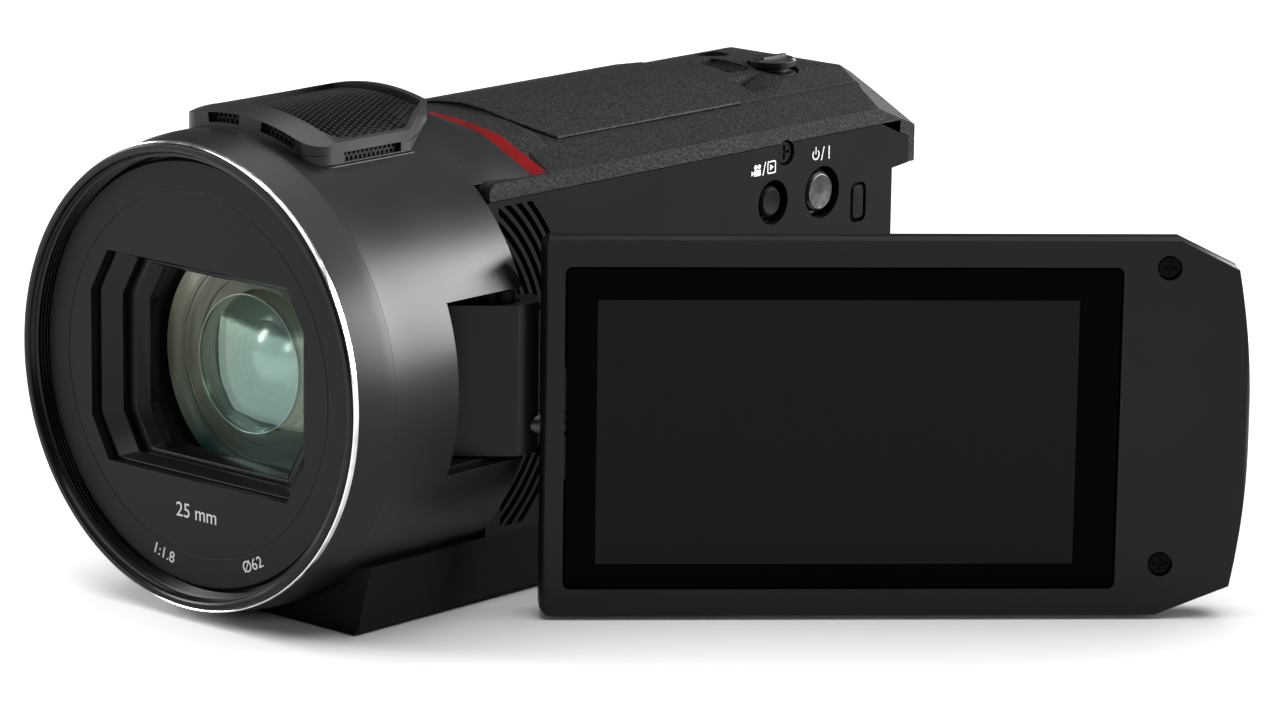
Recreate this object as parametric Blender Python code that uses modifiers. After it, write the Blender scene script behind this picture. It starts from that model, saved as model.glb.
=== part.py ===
"""Hand-held camcorder with a fold-out screen, built as an assembly of separate parts.

Frame: X points to the screen side, -Y is where the lens looks, Z is up. The origin is on the
underside, ORIGIN_BACK behind the front rim. Lengths below are in millimetres, and each Y is
counted from the front rim: the root empty carries the whole object forward to the origin.
"""

import math

import bmesh
import bpy
from mathutils import Matrix, Vector

MM = 0.001
GAP = 0.3
ORIGIN_BACK = 50.0

# Lens and barrel
AXIS_Z = 34.2
RIM_R = 32.7
BARREL_R = 33.5
FRONT_RING_Y = 7.0
BARREL_END_Y = 34.0
NAME_RING_Y = 2.0
WINDOW_HALF_W = 21.0
WINDOW_HALF_H = 15.0
GLASS_R = 17.2
TUBE_R = 13.6

# Body
SIDE_X = 24.2
GRIP_X = -27.0
GRIP_CURVE = 94.6
WALL = 1.6
BAND_Y = 47.4
REAR_Y = 122.4
OVERHANG_Y = 127.8
OVERHANG_Z = 50.6
SEAM_Z = 57.2
LEDGE_Z = 59.65
TONGUE_Y = 34.8
RAKE_Y = 47.1
TOP_Z = 65.35
BASE_Z = 9.4

# Screen
SWING_X = 28.9
SWING_Y = 33.2
OPEN_ANGLE = math.radians(45)
PANEL_X0 = 4.8
PANEL_X1 = 103.1
PANEL_Z0 = 0.5
PANEL_Z1 = 53.7
PANEL_FRONT = -3.7
PANEL_BACK = 4.3
TILT_Z = 0.5 * (PANEL_Z0 + PANEL_Z1)
GLASS_W = 76.3
GLASS_H = 45.1
BLOCK_Z0 = 23.3
BLOCK_Z1 = 44.5
POCKET_R = 13.7
POCKET_Z0 = 22.9
POCKET_Z1 = 46.2

# Controls
POWER_Y = 106.2
MODE_Y = 95.1
BUTTON_Z = 48.8
LEVER_AT = (7.4, 114.2)
SPEAKER_AT = (3.2, 107.2)
SCREW_AT = (97.8, 55.8)
STRAP_Z = 32.5
DOOR_Z = (45.0, 54.6)

for old in list(bpy.data.objects):
    bpy.data.objects.remove(old)

PARTS = bpy.data.collections.new("camcorder")
CUTTERS = bpy.data.collections.new("cutters")
for group in (PARTS, CUTTERS):
    bpy.context.scene.collection.children.link(group)
CUTTERS.hide_render = True
ROOT = bpy.data.objects.new("camcorder_root", None)
ROOT.location = (0, -MM * ORIGIN_BACK, 0)
PARTS.objects.link(ROOT)


# ---------------------------------------------------------------- materials

def material(name, colour, roughness, metallic=0.0, alpha=1.0):
    made = bpy.data.materials.new(name)
    made.use_nodes = True
    shader = made.node_tree.nodes["Principled BSDF"]
    shader.inputs["Base Color"].default_value = (*colour, 1.0)
    shader.inputs["Roughness"].default_value = roughness
    shader.inputs["Metallic"].default_value = metallic
    shader.inputs["Alpha"].default_value = alpha
    made.diffuse_color = (*colour, alpha)
    return made


BLACK_SATIN = ((0.012, 0.012, 0.013), 0.32, 0.0)
BLACK_MATTE = ((0.014, 0.014, 0.015), 0.5, 0.0)
BLACK_GRAIN = ((0.022, 0.022, 0.023), 0.62, 0.0)
BLACK_GLOSS = ((0.004, 0.004, 0.005), 0.08, 0.0)
CHROME = ((0.78, 0.78, 0.8), 0.16, 1.0)
STEEL = ((0.5, 0.5, 0.52), 0.3, 1.0)
BRASS = ((0.72, 0.55, 0.25), 0.35, 1.0)
RED = ((0.42, 0.01, 0.012), 0.25, 0.0)
GLASS = ((0.3, 0.42, 0.38), 0.03, 0.0)
BOARD = ((0.02, 0.12, 0.05), 0.5, 0.0)
WEB = ((0.02, 0.02, 0.02), 0.85, 0.0)
SCREEN = ((0.006, 0.006, 0.007), 0.12, 0.0)


# ---------------------------------------------------------------- shapes

def part(name, mesh, look, at=(0, 0, 0), parent=None):
    made = bpy.data.objects.new(name, mesh)
    made.location = [MM * v for v in at]
    made.parent = parent or ROOT
    PARTS.objects.link(made)
    mesh.materials.append(material(name + "_look", *look))
    mesh.shade_smooth()
    mesh.set_sharp_from_angle(angle=math.radians(35))
    return made


def tool(mesh, parent=None):
    made = bpy.data.objects.new("cutter", mesh)
    made.parent = parent or ROOT
    made.hide_render = True
    made.display_type = "WIRE"
    CUTTERS.objects.link(made)
    return made


def combine(target, mesh, operation):
    step = target.modifiers.new(operation.lower(), "BOOLEAN")
    step.operation = operation
    step.solver = "EXACT"
    step.object = tool(mesh, target.parent)
    step.object.location = target.location
    return target


def cut(target, *meshes):
    for mesh in meshes:
        combine(target, mesh, "DIFFERENCE")
    return target


def fuse(target, *meshes):
    for mesh in meshes:
        combine(target, mesh, "UNION")
    return target


def keep(target, mesh):
    return combine(target, mesh, "INTERSECT")


def bevelled(target, width, segments=2, angle=40):
    step = target.modifiers.new("edges", "BEVEL")
    step.width = width * MM
    step.segments = segments
    step.limit_method = "ANGLE"
    step.angle_limit = math.radians(angle)
    step.use_clamp_overlap = True
    return target


def finish_mesh(work):
    bmesh.ops.remove_doubles(work, verts=work.verts, dist=1e-7)
    bmesh.ops.recalc_face_normals(work, faces=work.faces)
    mesh = bpy.data.meshes.new("mesh")
    work.to_mesh(mesh)
    work.free()
    return mesh


def along(axis, a, b, h):
    """A point from its two coordinates across the axis and its distance along it."""
    return Vector({"X": (h, a, b), "Y": (a, h, b), "Z": (a, b, h)}[axis]) * MM


def prism(outline, axis, start, end):
    """An outline drawn square to the axis, pulled from start to end."""
    work = bmesh.new()
    face = work.faces.new([work.verts.new(along(axis, a, b, start)) for a, b in outline])
    pulled = bmesh.ops.extrude_face_region(work, geom=[face])["geom"]
    bmesh.ops.translate(work, verts=[v for v in pulled if isinstance(v, bmesh.types.BMVert)],
                        vec=along(axis, 0, 0, end - start))
    return finish_mesh(work)


def loft(rings, axis):
    """Unlike outlines of equal length at successive heights, joined by a skin: [(outline, height), ...]."""
    work = bmesh.new()
    made = [[work.verts.new(along(axis, a, b, h)) for a, b in outline] for outline, h in rings]
    work.faces.new(made[0])
    work.faces.new(made[-1])
    for low, high in zip(made, made[1:]):
        for i in range(len(low)):
            j = (i + 1) % len(low)
            work.faces.new((low[i], low[j], high[j], high[i]))
    return finish_mesh(work)


def turned(profile, axis, centre=(0, 0), steps=40):
    """A closed profile of (radius, height) spun round the axis through centre."""
    work = bmesh.new()
    spots = [work.verts.new(along(axis, centre[0] + r, centre[1], h)) for r, h in profile]
    edges = [work.edges.new((spots[i - 1], spots[i])) for i in range(len(spots))
             if profile[i - 1][0] > 0 or profile[i][0] > 0]
    bmesh.ops.spin(work, geom=spots + edges, cent=along(axis, *centre, 0), axis=along(axis, 0, 0, 1 / MM),
                   angle=2 * math.pi, steps=steps, use_merge=True)
    return finish_mesh(work)


def ring(r_in, r_out, start, end, axis, centre=(0, 0), steps=40):
    return turned([(r_in, start), (r_out, start), (r_out, end), (r_in, end)], axis, centre, steps)


def disc(r, start, end, axis, centre=(0, 0), steps=36):
    turn = {"X": Matrix.Rotation(math.pi / 2, 4, "Y"), "Y": Matrix.Rotation(math.pi / 2, 4, "X"),
            "Z": Matrix.Identity(4)}[axis]
    place = Matrix.Translation(along(axis, *centre, 0.5 * (start + end))) @ turn
    work = bmesh.new()
    bmesh.ops.create_cone(work, cap_ends=True, segments=steps, radius1=r * MM, radius2=r * MM,
                          depth=(end - start) * MM, matrix=place)
    return finish_mesh(work)


def box(x0, x1, y0, y1, z0, z1):
    centre = along("Z", 0.5 * (x0 + x1), 0.5 * (y0 + y1), 0.5 * (z0 + z1))
    work = bmesh.new()
    bmesh.ops.create_cube(work, size=MM, matrix=Matrix.LocRotScale(centre, None, (x1 - x0, y1 - y0, z1 - z0)))
    return finish_mesh(work)


def arc(cx, cy, r, start, end, steps):
    """Points on an arc, angles in degrees."""
    turns = [math.radians(start + (end - start) * k / steps) for k in range(steps + 1)]
    return [(cx + r * math.cos(t), cy + r * math.sin(t)) for t in turns]


def rounded(cx, cy, w, h, r, steps=4):
    """A rectangle of w by h with its corners rounded."""
    points = []
    for sx, sy, start in ((1, 1, 0), (-1, 1, 90), (-1, -1, 180), (1, -1, 270)):
        points += arc(cx + sx * (w / 2 - r), cy + sy * (h / 2 - r), r, start, start + 90, steps)
    return points


def octagon(half_w, half_h, cut_w, cut_h, cz=AXIS_Z):
    points = []
    for sx, sy in ((1, 1), (-1, 1), (-1, -1), (1, -1)):
        pair = [(sx * half_w, cz + sy * (half_h - cut_h)), (sx * (half_w - cut_w), cz + sy * half_h)]
        points += pair if sx * sy > 0 else pair[::-1]
    return points


# ---------------------------------------------------------------- lens front

LENS = (0, AXIS_Z)


def lens_front():
    trim = [(31.7, -0.2), (32.1, -0.5), (32.6, -0.1), (32.7, 1.0), (31.7, 1.0)]
    part("front_trim_ring", turned(trim, "Y", LENS, 60), CHROME)
    thread = [(31.4, -0.1), (31.4, 4.6), (29.2, 4.6), (29.2, 3.6), (30.8, 3.6)]
    for k in range(3):
        thread += [(30.8, 3.0 - 0.95 * k), (30.4, 2.6 - 0.95 * k), (30.8, 2.2 - 0.95 * k)]
    part("filter_ring", turned(thread, "Y", LENS, 60), BLACK_GLOSS)
    name_ring = part("name_ring", disc(30.1, NAME_RING_Y, 3.3, "Y", LENS, 60), BLACK_SATIN)
    cut(name_ring, prism(octagon(WINDOW_HALF_W, WINDOW_HALF_H, 3.4, 6.0), "Y", 0, 6))

    hood = part("lens_hood", disc(28.9, 3.6, 6.0, "Y", LENS, 60), BLACK_SATIN)
    wide = octagon(WINDOW_HALF_W - 0.2, WINDOW_HALF_H - 0.2, 3.4, 6.0)
    narrow = octagon(18.0, 13.8, 3.2, 5.6)
    cut(hood, loft([(wide, 3.5), (narrow, 5.2), (narrow, 6.1)], "Y"))
    mask = part("lens_mask", disc(28.9, 6.3, 9.4, "Y", LENS, 60), BLACK_MATTE)
    first = octagon(16.6, 13.3, 3.0, 5.2)
    second = octagon(15.2, 12.6, 3.0, 5.0)
    cut(mask, loft([(first, 6.2), (second, 7.8), (second, 9.5)], "Y"))


def lens_inside():
    retainer = [(17.5, 9.7), (20.4, 9.7), (20.4, 17.4), (17.9, 17.4), (17.9, 11.2), (17.5, 11.2)]
    part("front_lens_cell", turned(retainer, "Y", LENS), BLACK_MATTE)
    dome = arc(0, 10.8 + 45.0, 45.0, -90, -90 + math.degrees(math.asin(GLASS_R / 45.0)), 5)
    front = [(0, dome[0][1])] + dome[1:]
    part("front_lens", turned(front + [(GLASS_R, 16.6), (8.0, 15.2), (0, 14.8)], "Y", LENS, 32), GLASS)
    tube = [(12.4, 18.0), (20.4, 18.0), (20.4, 18.5), (TUBE_R, 18.5), (TUBE_R, 58.0), (12.4, 58.0)]
    part("lens_tube", turned(tube, "Y", LENS), BLACK_MATTE)
    for name, y, r in (("zoom", 24.0, 8.6), ("focus", 46.0, 6.6)):
        part(name + "_carrier", ring(r + GAP, 12.1, y, y + 5.0, "Y", LENS, 32), BLACK_MATTE)
        face = [(0, y + 1.0), (r * 0.6, y + 1.4), (r, y + 2.4), (r, y + 4.0), (0, y + 4.0)]
        part(name + "_lens", turned(face, "Y", LENS, 32), GLASS)
    part("iris", ring(3.2, 12.1, 41.0, 42.2, "Y", LENS, 32), BLACK_MATTE)
    board = part("sensor_board", box(-13, 13, 58.3, 59.9, AXIS_Z - 12, AXIS_Z + 12), BOARD)
    bevelled(board, 0.5, 1)
    part("image_sensor", box(-5, 5, 57.0, 58.0, AXIS_Z - 4, AXIS_Z + 4), SCREEN)


# ---------------------------------------------------------------- barrel

def pocket_cut(grow=0.0):
    """The space that the hinge block swings in, open to the screen side."""
    sweep = arc(SWING_X, SWING_Y, POCKET_R + grow, 90, 270, 20)
    return prism([(45.0, SWING_Y - POCKET_R - grow)] + [(45.0, 38.0 + grow)]
                 + [(x, min(y, 38.0 + grow)) for x, y in sweep],
                 "Z", POCKET_Z0 - grow, POCKET_Z1 + grow)


def barrel():
    nose = [(31.7, 1.3), (32.7, 1.3), (33.4, 5.2), (33.4, FRONT_RING_Y - GAP), (31.4, FRONT_RING_Y - GAP),
            (31.4, 4.9), (31.7, 4.9)]
    part("front_barrel", turned(nose, "Y", LENS, 60), BLACK_SATIN)
    flange = [(BARREL_R, FRONT_RING_Y), (BARREL_R, BARREL_END_Y), (31.8, BARREL_END_Y), (31.8, 12.0),
              (21.0, 12.0), (21.0, 9.8), (30.9, 9.8), (30.9, FRONT_RING_Y)]
    shell = part("barrel_shell", turned(flange, "Y", LENS, 60), BLACK_SATIN)
    cut(shell, pocket_cut(0.4), box(-40, 40, 0, 60, -5, 1.2))

    pocket = part("hinge_pocket", prism(
        arc(SWING_X, SWING_Y, POCKET_R + 0.8, 90, 270, 20) + [(SWING_X, SWING_Y - POCKET_R - 0.8)],
        "Z", POCKET_Z0 - 0.8, POCKET_Z1 + 0.8), BLACK_MATTE)
    cut(pocket, pocket_cut(), box(-5, 60, 38.6, 60, 0, 70), box(22.3, 60, 34.0, 60, 0, 70))
    keep(pocket, disc(31.5, 0, 60, "Y", LENS, 60))


def mic_plan(near=15.3, far=11.2, front=9.5, turn=28.2, rear=37.8, across=9.2, r=3.6):
    """The housing seen from above: a flat front with rounded corners, and a back narrowed from turn on."""
    return (arc(near - r, front + r, r, 0, -90, 5) + arc(r - far, front + r, r, 270, 180, 5)
            + [(-far, turn + 3.4), (-across + 0.8, rear), (across, rear), (near, turn)])


def mic_roof(drop=0.0):
    return arc(0, AXIS_Z, 36.3 - drop, 140, 40, 20)


def microphone():
    """A low housing on the barrel's crown, with a pierced lid sunk in it and slots along its skirt."""
    barrel_top = disc(BARREL_R + GAP, 0, 60, "Y", LENS, 60)
    frame = part("mic_housing", prism(mic_roof() + [(20.0, 60.0), (-20.0, 60.0)], "Y", 8.0, 40.0), BLACK_MATTE)
    keep(frame, prism(mic_plan(), "Z", 50, 80))
    slope = turned([(36.31, 14.0), (35.4, 9.0), (45.0, 9.0), (45.0, 14.0)], "Y", LENS, 60)
    cut(frame, barrel_top, slope, prism(mic_plan(14.5, 10.4, 13.9, 27.6, 36.6, 9.0, 3.0), "Z", 60, 80))
    for low, high in ((70.5, 81.5), (88.5, 98.5)):
        slot = arc(0, AXIS_Z, 35.2, low, high, 4) + arc(0, AXIS_Z, 34.2, high, low, 4)
        cut(frame, prism(slot, "Y", 5.0, 14.6))
    cut(frame, box(12.5, 16.5, 16.0, 26.0, 64.7, 65.9))
    lid = part("mic_grille", prism(mic_roof(0.8) + mic_roof(1.6)[::-1], "Y", 8.0, 40.0), BLACK_GRAIN)
    keep(lid, prism(mic_plan(14.2, 10.1, 14.2, 27.4, 36.3, 8.8, 2.8), "Z", 50, 80))
    board = part("mic_board", box(-3.6, 3.6, 18.0, 32.0, 67.9, 68.2), BOARD)
    fuse(board, disc(1.5, 68.0, 68.5, "Z", (1.7, 24.0), 24), disc(1.5, 68.0, 68.5, "Z", (-1.7, 24.0), 24))


# ---------------------------------------------------------------- body covers

TOP_HALF = [(SIDE_X, SEAM_Z + GAP), (24.15, LEDGE_Z), (16.4, 61.95), (9.9, 64.0), (5.0, 64.95)]
TOP_OUTLINE = TOP_HALF + [(0, TOP_Z)] + [(-x, z) for x, z in TOP_HALF[::-1]]


def ridge(raise_by):
    """The crown of the top cover between its two shoulders, lifted by the given distance."""
    half = [(16.2, 61.95), (9.9, 64.0), (5.0, 64.95), (0, TOP_Z)]
    return [(x, z + raise_by) for x, z in half + [(-x, z) for x, z in half[2::-1]]]


def arch(r, crown, low, flare=0.0, wall=1.5):
    """A band over the lens axis, round at its sides, flatter over the top, and open below low. With flare,
    its ends leave the circle and run straight out to that half width."""
    leave = math.radians(62)

    def curve(r, crown, wide):
        start = math.asin((low - AXIS_Z) / r)
        off_x = r * math.cos(leave)
        off_z = min(AXIS_Z + r * math.sin(leave), crown - 0.0078 * off_x * off_x)
        points = []
        for x, z in arc(0, AXIS_Z, r, math.degrees(start), 180 - math.degrees(start), 40):
            z = min(z, crown - 0.0078 * x * x)
            share = (leave - math.atan2(z - AXIS_Z, abs(x))) / (leave - start)
            if wide and share > 0:
                share = min(1.0, share)
                x = math.copysign(off_x + (wide - off_x) * share, x)
                z = off_z + (low - off_z) * share
            points.append((x, z))
        return points
    return curve(r, crown, flare) + curve(r - wall, crown - wall, flare and flare - wall)[::-1]


def rear_corner(side):
    """A block turned so that its underside takes a rear corner off the top cover."""
    a, b, c = Vector((15.8, 123.5, 62.1)), Vector((24.2, 119.0, 59.65)), Vector((24.2, 126.6, 56.5))
    down = (b - a).cross(c - a).normalized()
    out = down if down.z > 0 else -down
    edge = (b - a).normalized()
    turn = Matrix((edge, out.cross(edge), out)).transposed().to_4x4()
    place = Matrix.Translation(((a + b + c) / 3 + out * 6) * MM) @ turn @ Matrix.Diagonal((40, 40, 12, 1))
    work = bmesh.new()
    bmesh.ops.create_cube(work, size=MM, matrix=place)
    bmesh.ops.scale(work, verts=work.verts, vec=(side, 1, 1))
    return finish_mesh(work)


def top():
    cover = part("top_cover", prism(TOP_OUTLINE, "Y", TONGUE_Y, OVERHANG_Y), BLACK_GRAIN)
    fuse(cover, box(-24.0, 24.0, 124.4, OVERHANG_Y, OVERHANG_Z, 59.0))
    profile = [(TONGUE_Y, 57.5), (TONGUE_Y, 58.6), (TONGUE_Y + 1.0, LEDGE_Z), (RAKE_Y, LEDGE_Z), (54.3, 65.0),
               (54.3, 70.0), (93.0, 66.0), (110.0, 65.2), (120.0, 64.6), (126.0, 63.7), (127.3, 62.6),
               (OVERHANG_Y, 60.5), (OVERHANG_Y, OVERHANG_Z)]
    keep(cover, prism(profile + [(126.4, OVERHANG_Z), (126.4, 54.7), (120.1, 57.5)], "X", -30, 30))
    cut(cover, rear_corner(1), rear_corner(-1))
    room = prism([(22.6, 50.0), (22.5, 58.2), (16.2, 60.3), (9.5, 62.4), (5.0, 63.3), (0, 63.7), (-5.0, 63.3),
                  (-9.5, 62.4), (-16.2, 60.3), (-22.5, 58.2), (-22.6, 50.0)], "Y", BAND_Y - 4, 125.9)
    hollow = [(RAKE_Y + 0.8, 49.0), (RAKE_Y + 0.8, 66.0), (93.0, 64.4), (110.0, 63.6), (116.0, 62.6), (119.0, 60.6),
              (123.5, 57.6), (125.9, 54.0), (125.9, 49.0)]
    space = tool(room)
    for operation, target, other in (("INTERSECT", space, tool(prism(hollow, "X", -30, 30))),
                                     ("DIFFERENCE", cover, space)):
        step = target.modifiers.new("hollow", "BOOLEAN")
        step.operation = operation
        step.solver = "EXACT"
        step.object = other
    cut(cover, disc(32.0, TONGUE_Y - 1, RAKE_Y + 1, "Y", LENS, 60))
    fuse(cover, prism(arch(32.6, 65.0, 58.4), "Y", BAND_Y + GAP, 53.8))
    fuse(cover, prism([(7.8, 61.0), (14.2, 61.0), (14.2, 62.5), (9.9, 63.8), (7.8, 64.2)], "Y", 101.6, 110.2))
    cut(cover, disc(3.9, 55, 70, "Z", LEVER_AT), disc(3.0, 55, 70, "Z", (-4.5, 113.5)))
    cut(cover, prism([(102.4, 67.0), (102.4, 62.2), (103.0, 62.0), (110.0, 64.2), (110.0, 67.0)], "X", 8.6, 13.4))
    cut(cover, prism(rounded(*SPEAKER_AT, 7.6, 5.2, 1.0), "Z", 55, 70))
    cut(cover, disc(1.9, 20, 30, "X", SCREW_AT, 24))

    panel = part("top_panel", prism(ridge(0.65) + ridge(0.1)[::-1], "Y", 54.1, 98.6), BLACK_GRAIN)
    keep(panel, prism([(-20, 57.2), (-16.2, 57.2), (-9.9, 54.1), (9.9, 54.1), (16.2, 57.2), (20, 57.2), (20, 96.4),
                       (16.2, 96.9), (9.9, 98.6), (-9.9, 98.6), (-16.2, 96.9), (-20, 96.4)], "Z", 55, 75))
    grille = part("speaker_grille", prism(rounded(*SPEAKER_AT, 7.0, 4.6, 0.8), "Z", 63.4, 64.8), BLACK_MATTE)
    for i in range(4):
        x = SPEAKER_AT[0] - 2.6 + 1.5 * i
        cut(grille, box(x, x + 0.7, SPEAKER_AT[1] - 1.6, SPEAKER_AT[1] + 1.6, 60, 68))
    part("speaker", disc(4.2, 59.2, 62.3, "Z", SPEAKER_AT, 32), STEEL)


def accent():
    part("accent_band", prism(arch(32.9, 65.3, LEDGE_Z + GAP, 23.9), "Y", BAND_Y - 3.0, BAND_Y), RED)
    round_end = arch(33.3, 68.0, LEDGE_Z + GAP)
    flared = arch(33.1, 65.7, LEDGE_Z + GAP, 24.0)
    part("neck_cover", loft([(round_end, BARREL_END_Y + GAP), (round_end, 36.5),
                             (arch(33.3, 68.0, LEDGE_Z + GAP, 22.6), 39.2), (flared, BAND_Y - 3.0 - GAP)], "Y"),
         BLACK_SATIN)


def side_plate(outline, x0, x1, name):
    return part(name, prism(outline, "X", x0, x1), BLACK_MATTE)


def left_side():
    outline = [(34.4, 56.9), (119.8, 56.9), (126.1, 54.3), (126.1, OVERHANG_Z), (REAR_Y, OVERHANG_Z - 0.4),
               (REAR_Y, BASE_Z + 0.3), (34.4, BASE_Z + 0.3)]
    cover = side_plate(outline, SIDE_X - WALL, SIDE_X, "left_cover")
    cut(cover, box(10, 40, 30, 38.4, POCKET_Z0 - 0.4, POCKET_Z1 + 0.4))
    cut(cover, disc(3.9, 20, 30, "X", (POWER_Y, BUTTON_Z)), disc(3.3, 20, 30, "X", (MODE_Y, BUTTON_Z)))
    cut(cover, prism(rounded(114.6, 46.1, 3.6, 6.0, 1.2), "X", 20, 30))
    cut(cover, disc(1.9, 20, 30, "X", SCREW_AT, 24))
    for k in range(5):
        r = 25.2 + 1.5 * k
        for low, high in ((16, 48), (-50, -16)):
            slot = arc(20.0, AXIS_Z, r, low, high, 6) + arc(20.0, AXIS_Z, r + 0.8, high, low, 6)
            cut(cover, prism(slot, "X", 20, 30))


def grip_wall(start, end):
    """The gently bowed wall on the hand side."""
    bulge = arc(GRIP_X + GRIP_CURVE, 33.4, GRIP_CURVE, 165.7, 194.3, 10)
    return prism(bulge + [(x + WALL, z) for x, z in bulge[::-1]], "Y", start, end)


def right_side():
    cover = part("grip_cover", grip_wall(34.4, REAR_Y), BLACK_MATTE)
    cut(cover, box(-40, -10, 52.0, 84.0, DOOR_Z[0] - GAP, DOOR_Z[1] + GAP))


def base():
    outline = [(-22.0, 0), (22.4, 0), (23.0, 0.8), (24.1, BASE_Z), (-23.6, BASE_Z), (-22.8, 0.8)]
    cover = part("base_cover", prism(outline, "Y", 10.0, REAR_Y), BLACK_MATTE)
    cut(cover, box(-21.0, 21.0, 46.0, REAR_Y - WALL, 1.8, 20), disc(BARREL_R + 0.3, 0, 45.7, "Y", LENS, 60))
    cut(cover, disc(4.2, -1, 5, "Z", (0, 70.0), 20), box(-9.5, 9.5, 86.0, 112.0, -1, 5))
    cut(cover, box(-5.4, 5.4, 119.0, 130, 2.7, 6.8))
    insert = part("tripod_insert", ring(2.6, 3.9, 0.1, 6.0, "Z", (0, 70.0), 20), BRASS)
    fuse(insert, ring(2.6, 6.4, 2.1, 3.3, "Z", (0, 70.0), 20))


def rear():
    plate = part("rear_cover", box(-22.2, 22.3, REAR_Y - WALL, REAR_Y, BASE_Z + 0.3, OVERHANG_Z + 1.2), BLACK_MATTE)
    fuse(plate, box(-22.2, 22.3, REAR_Y - WALL, 125.6, OVERHANG_Z, OVERHANG_Z + 1.2))
    cut(plate, disc(4.3, 110, 130, "Y", (17.0, 32.0), 40), box(-8.0, 6.0, 115, 125.0, 12.0, 18.0))


# ---------------------------------------------------------------- inside

def inside():
    frame = part("chassis", box(-20.4, 20.4, 60.4, 62.4, 2.2, 56.0), STEEL)
    fuse(frame, box(-22.0, -20.0, 60.9, 118.0, 12.0, 38.0), box(-20.0, 19.0, 60.9, 117.6, 2.5, 3.7))
    cut(frame, disc(8.0, 58, 66, "Y", LENS, 40), disc(6.8, 0, 9, "Z", (0, 70.0), 40))
    cut(frame, box(-10.5, 10.5, 85.0, 118.5, 0, 10))
    board = part("main_board", box(15.4, 17.0, 64.0, 117.0, 8.0, 44.0), BOARD)
    fuse(board, box(13.6, 15.8, 72.0, 88.0, 18.0, 34.0), box(14.2, 15.8, 94.0, 104.0, 12.0, 24.0))
    part("card_slot", box(-9.0, 9.0, 86.6, 111.4, 4.2, 7.4), STEEL)
    part("zoom_motor", disc(3.0, 20.0, 32.0, "Y", (-18.4, 24.0), 32), STEEL)


# ---------------------------------------------------------------- controls

def side_button(name, y, r, look):
    crown = [(0, -3.0), (r + 0.5, -3.0), (r + 0.5, -2.0), (r, -2.0), (r, -0.7), (r - 0.5, -0.3), (0, -0.5)]
    return part(name, turned(crown, "X", (0, 0), 28), look, at=(SIDE_X, y, BUTTON_Z))


def controls():
    side_button("power_button", POWER_Y, 3.0, STEEL)
    side_button("mode_button", MODE_Y, 2.3, BLACK_MATTE)
    slim = [(rounded(0, 0, 2.9, 5.3, 0.9), -3.0), (rounded(0, 0, 2.9, 5.3, 0.9), -0.4),
            (rounded(0, 0, 2.3, 4.7, 0.7), 0.0)]
    part("level_button", loft(slim, "X"), BLACK_MATTE, at=(SIDE_X, 114.6, 46.1))
    knob = [(0, 61.0), (3.6, 61.0), (3.6, 63.7), (2.5, 64.0), (2.5, 64.4), (3.45, 64.7), (3.5, 65.5), (3.1, 65.85),
            (0, 65.75)]
    lever = part("zoom_lever", turned(knob, "Z", (0, 0), 32), BLACK_SATIN, at=(*LEVER_AT, 0))
    fuse(lever, box(-0.4, 0.4, -2.9, 2.9, 65.5, 66.1))
    part("photo_button", turned([(0, 58.6), (2.7, 58.6), (2.7, 63.2), (2.2, 63.7), (0, 63.8)], "Z", (0, 0), 24),
         BLACK_SATIN, at=(-4.5, 113.5, 0))
    part("record_button", turned([(0, -3.2), (3.9, -3.2), (3.9, 0.5), (3.3, 1.0), (2.6, 0.6), (0, 0.6)], "Y",
                                 (0, 0), 40), RED, at=(17.0, REAR_Y, 32.0))


def battery():
    body = [(rounded(-1.2, 23.6, 25.6, 30.6, 3.0), REAR_Y + GAP), (rounded(-1.2, 23.6, 25.6, 30.6, 3.0), 136.6),
            (rounded(-1.2, 23.6, 23.4, 28.4, 2.6), 138.6)]
    part("battery_pack", loft(body, "Y"), BLACK_MATTE)
    part("battery_terminal", box(-7.7, 5.7, 117.6, 122.0, 12.3, 17.7), BRASS)
    part("battery_latch", box(-5.0, 1.6, 120.0, 122.2, 3.0, 6.5), BLACK_GRAIN)


def doors():
    hatch = part("card_door", prism(rounded(0, 99.0, 18.4, 25.4, 1.0), "Z", 0.1, 1.5), BLACK_MATTE)
    bevelled(hatch, 0.2, 1)
    flap = part("terminal_door", grip_wall(52.3, 83.7), BLACK_MATTE)
    keep(flap, box(-40, -10, 50, 90, *DOOR_Z))


def strap():
    """A padded band from one anchor to the other, bowed out far enough for a hand."""
    bow = [(-28.2, 41.0), (-35.0, 47.0), (-41.0, 60.0), (-43.0, 78.0), (-41.0, 96.0), (-35.0, 109.0),
           (-28.2, 115.0)]
    back = [(x - 3.2, y) for x, y in bow]
    part("grip_strap", prism(bow + back[::-1], "Z", STRAP_Z - 11, STRAP_Z + 11), WEB)
    for name, y in (("strap_anchor_front", 38.4), ("strap_anchor_rear", 117.6)):
        part(name, box(-30.4, -27.3, y - 2.2, y + 2.2, STRAP_Z - 10, STRAP_Z + 10), STEEL)


# ---------------------------------------------------------------- screen

def screen_outline(inset=0.0):
    x0, x1, z0, z1 = PANEL_X0 + inset, PANEL_X1 - inset, PANEL_Z0 + inset, PANEL_Z1 - inset
    nose = arc(x1 - 118.0, TILT_Z, 118.0, -11.0, 11.0, 8)
    return ([(x0 + 1.0, z1), (x0, z1 - 1.0), (x0, z0 + 1.0), (x0 + 1.0, z0), (x1 - 12.4, z0)] + nose
            + [(x1 - 10.4, z1)])


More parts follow.
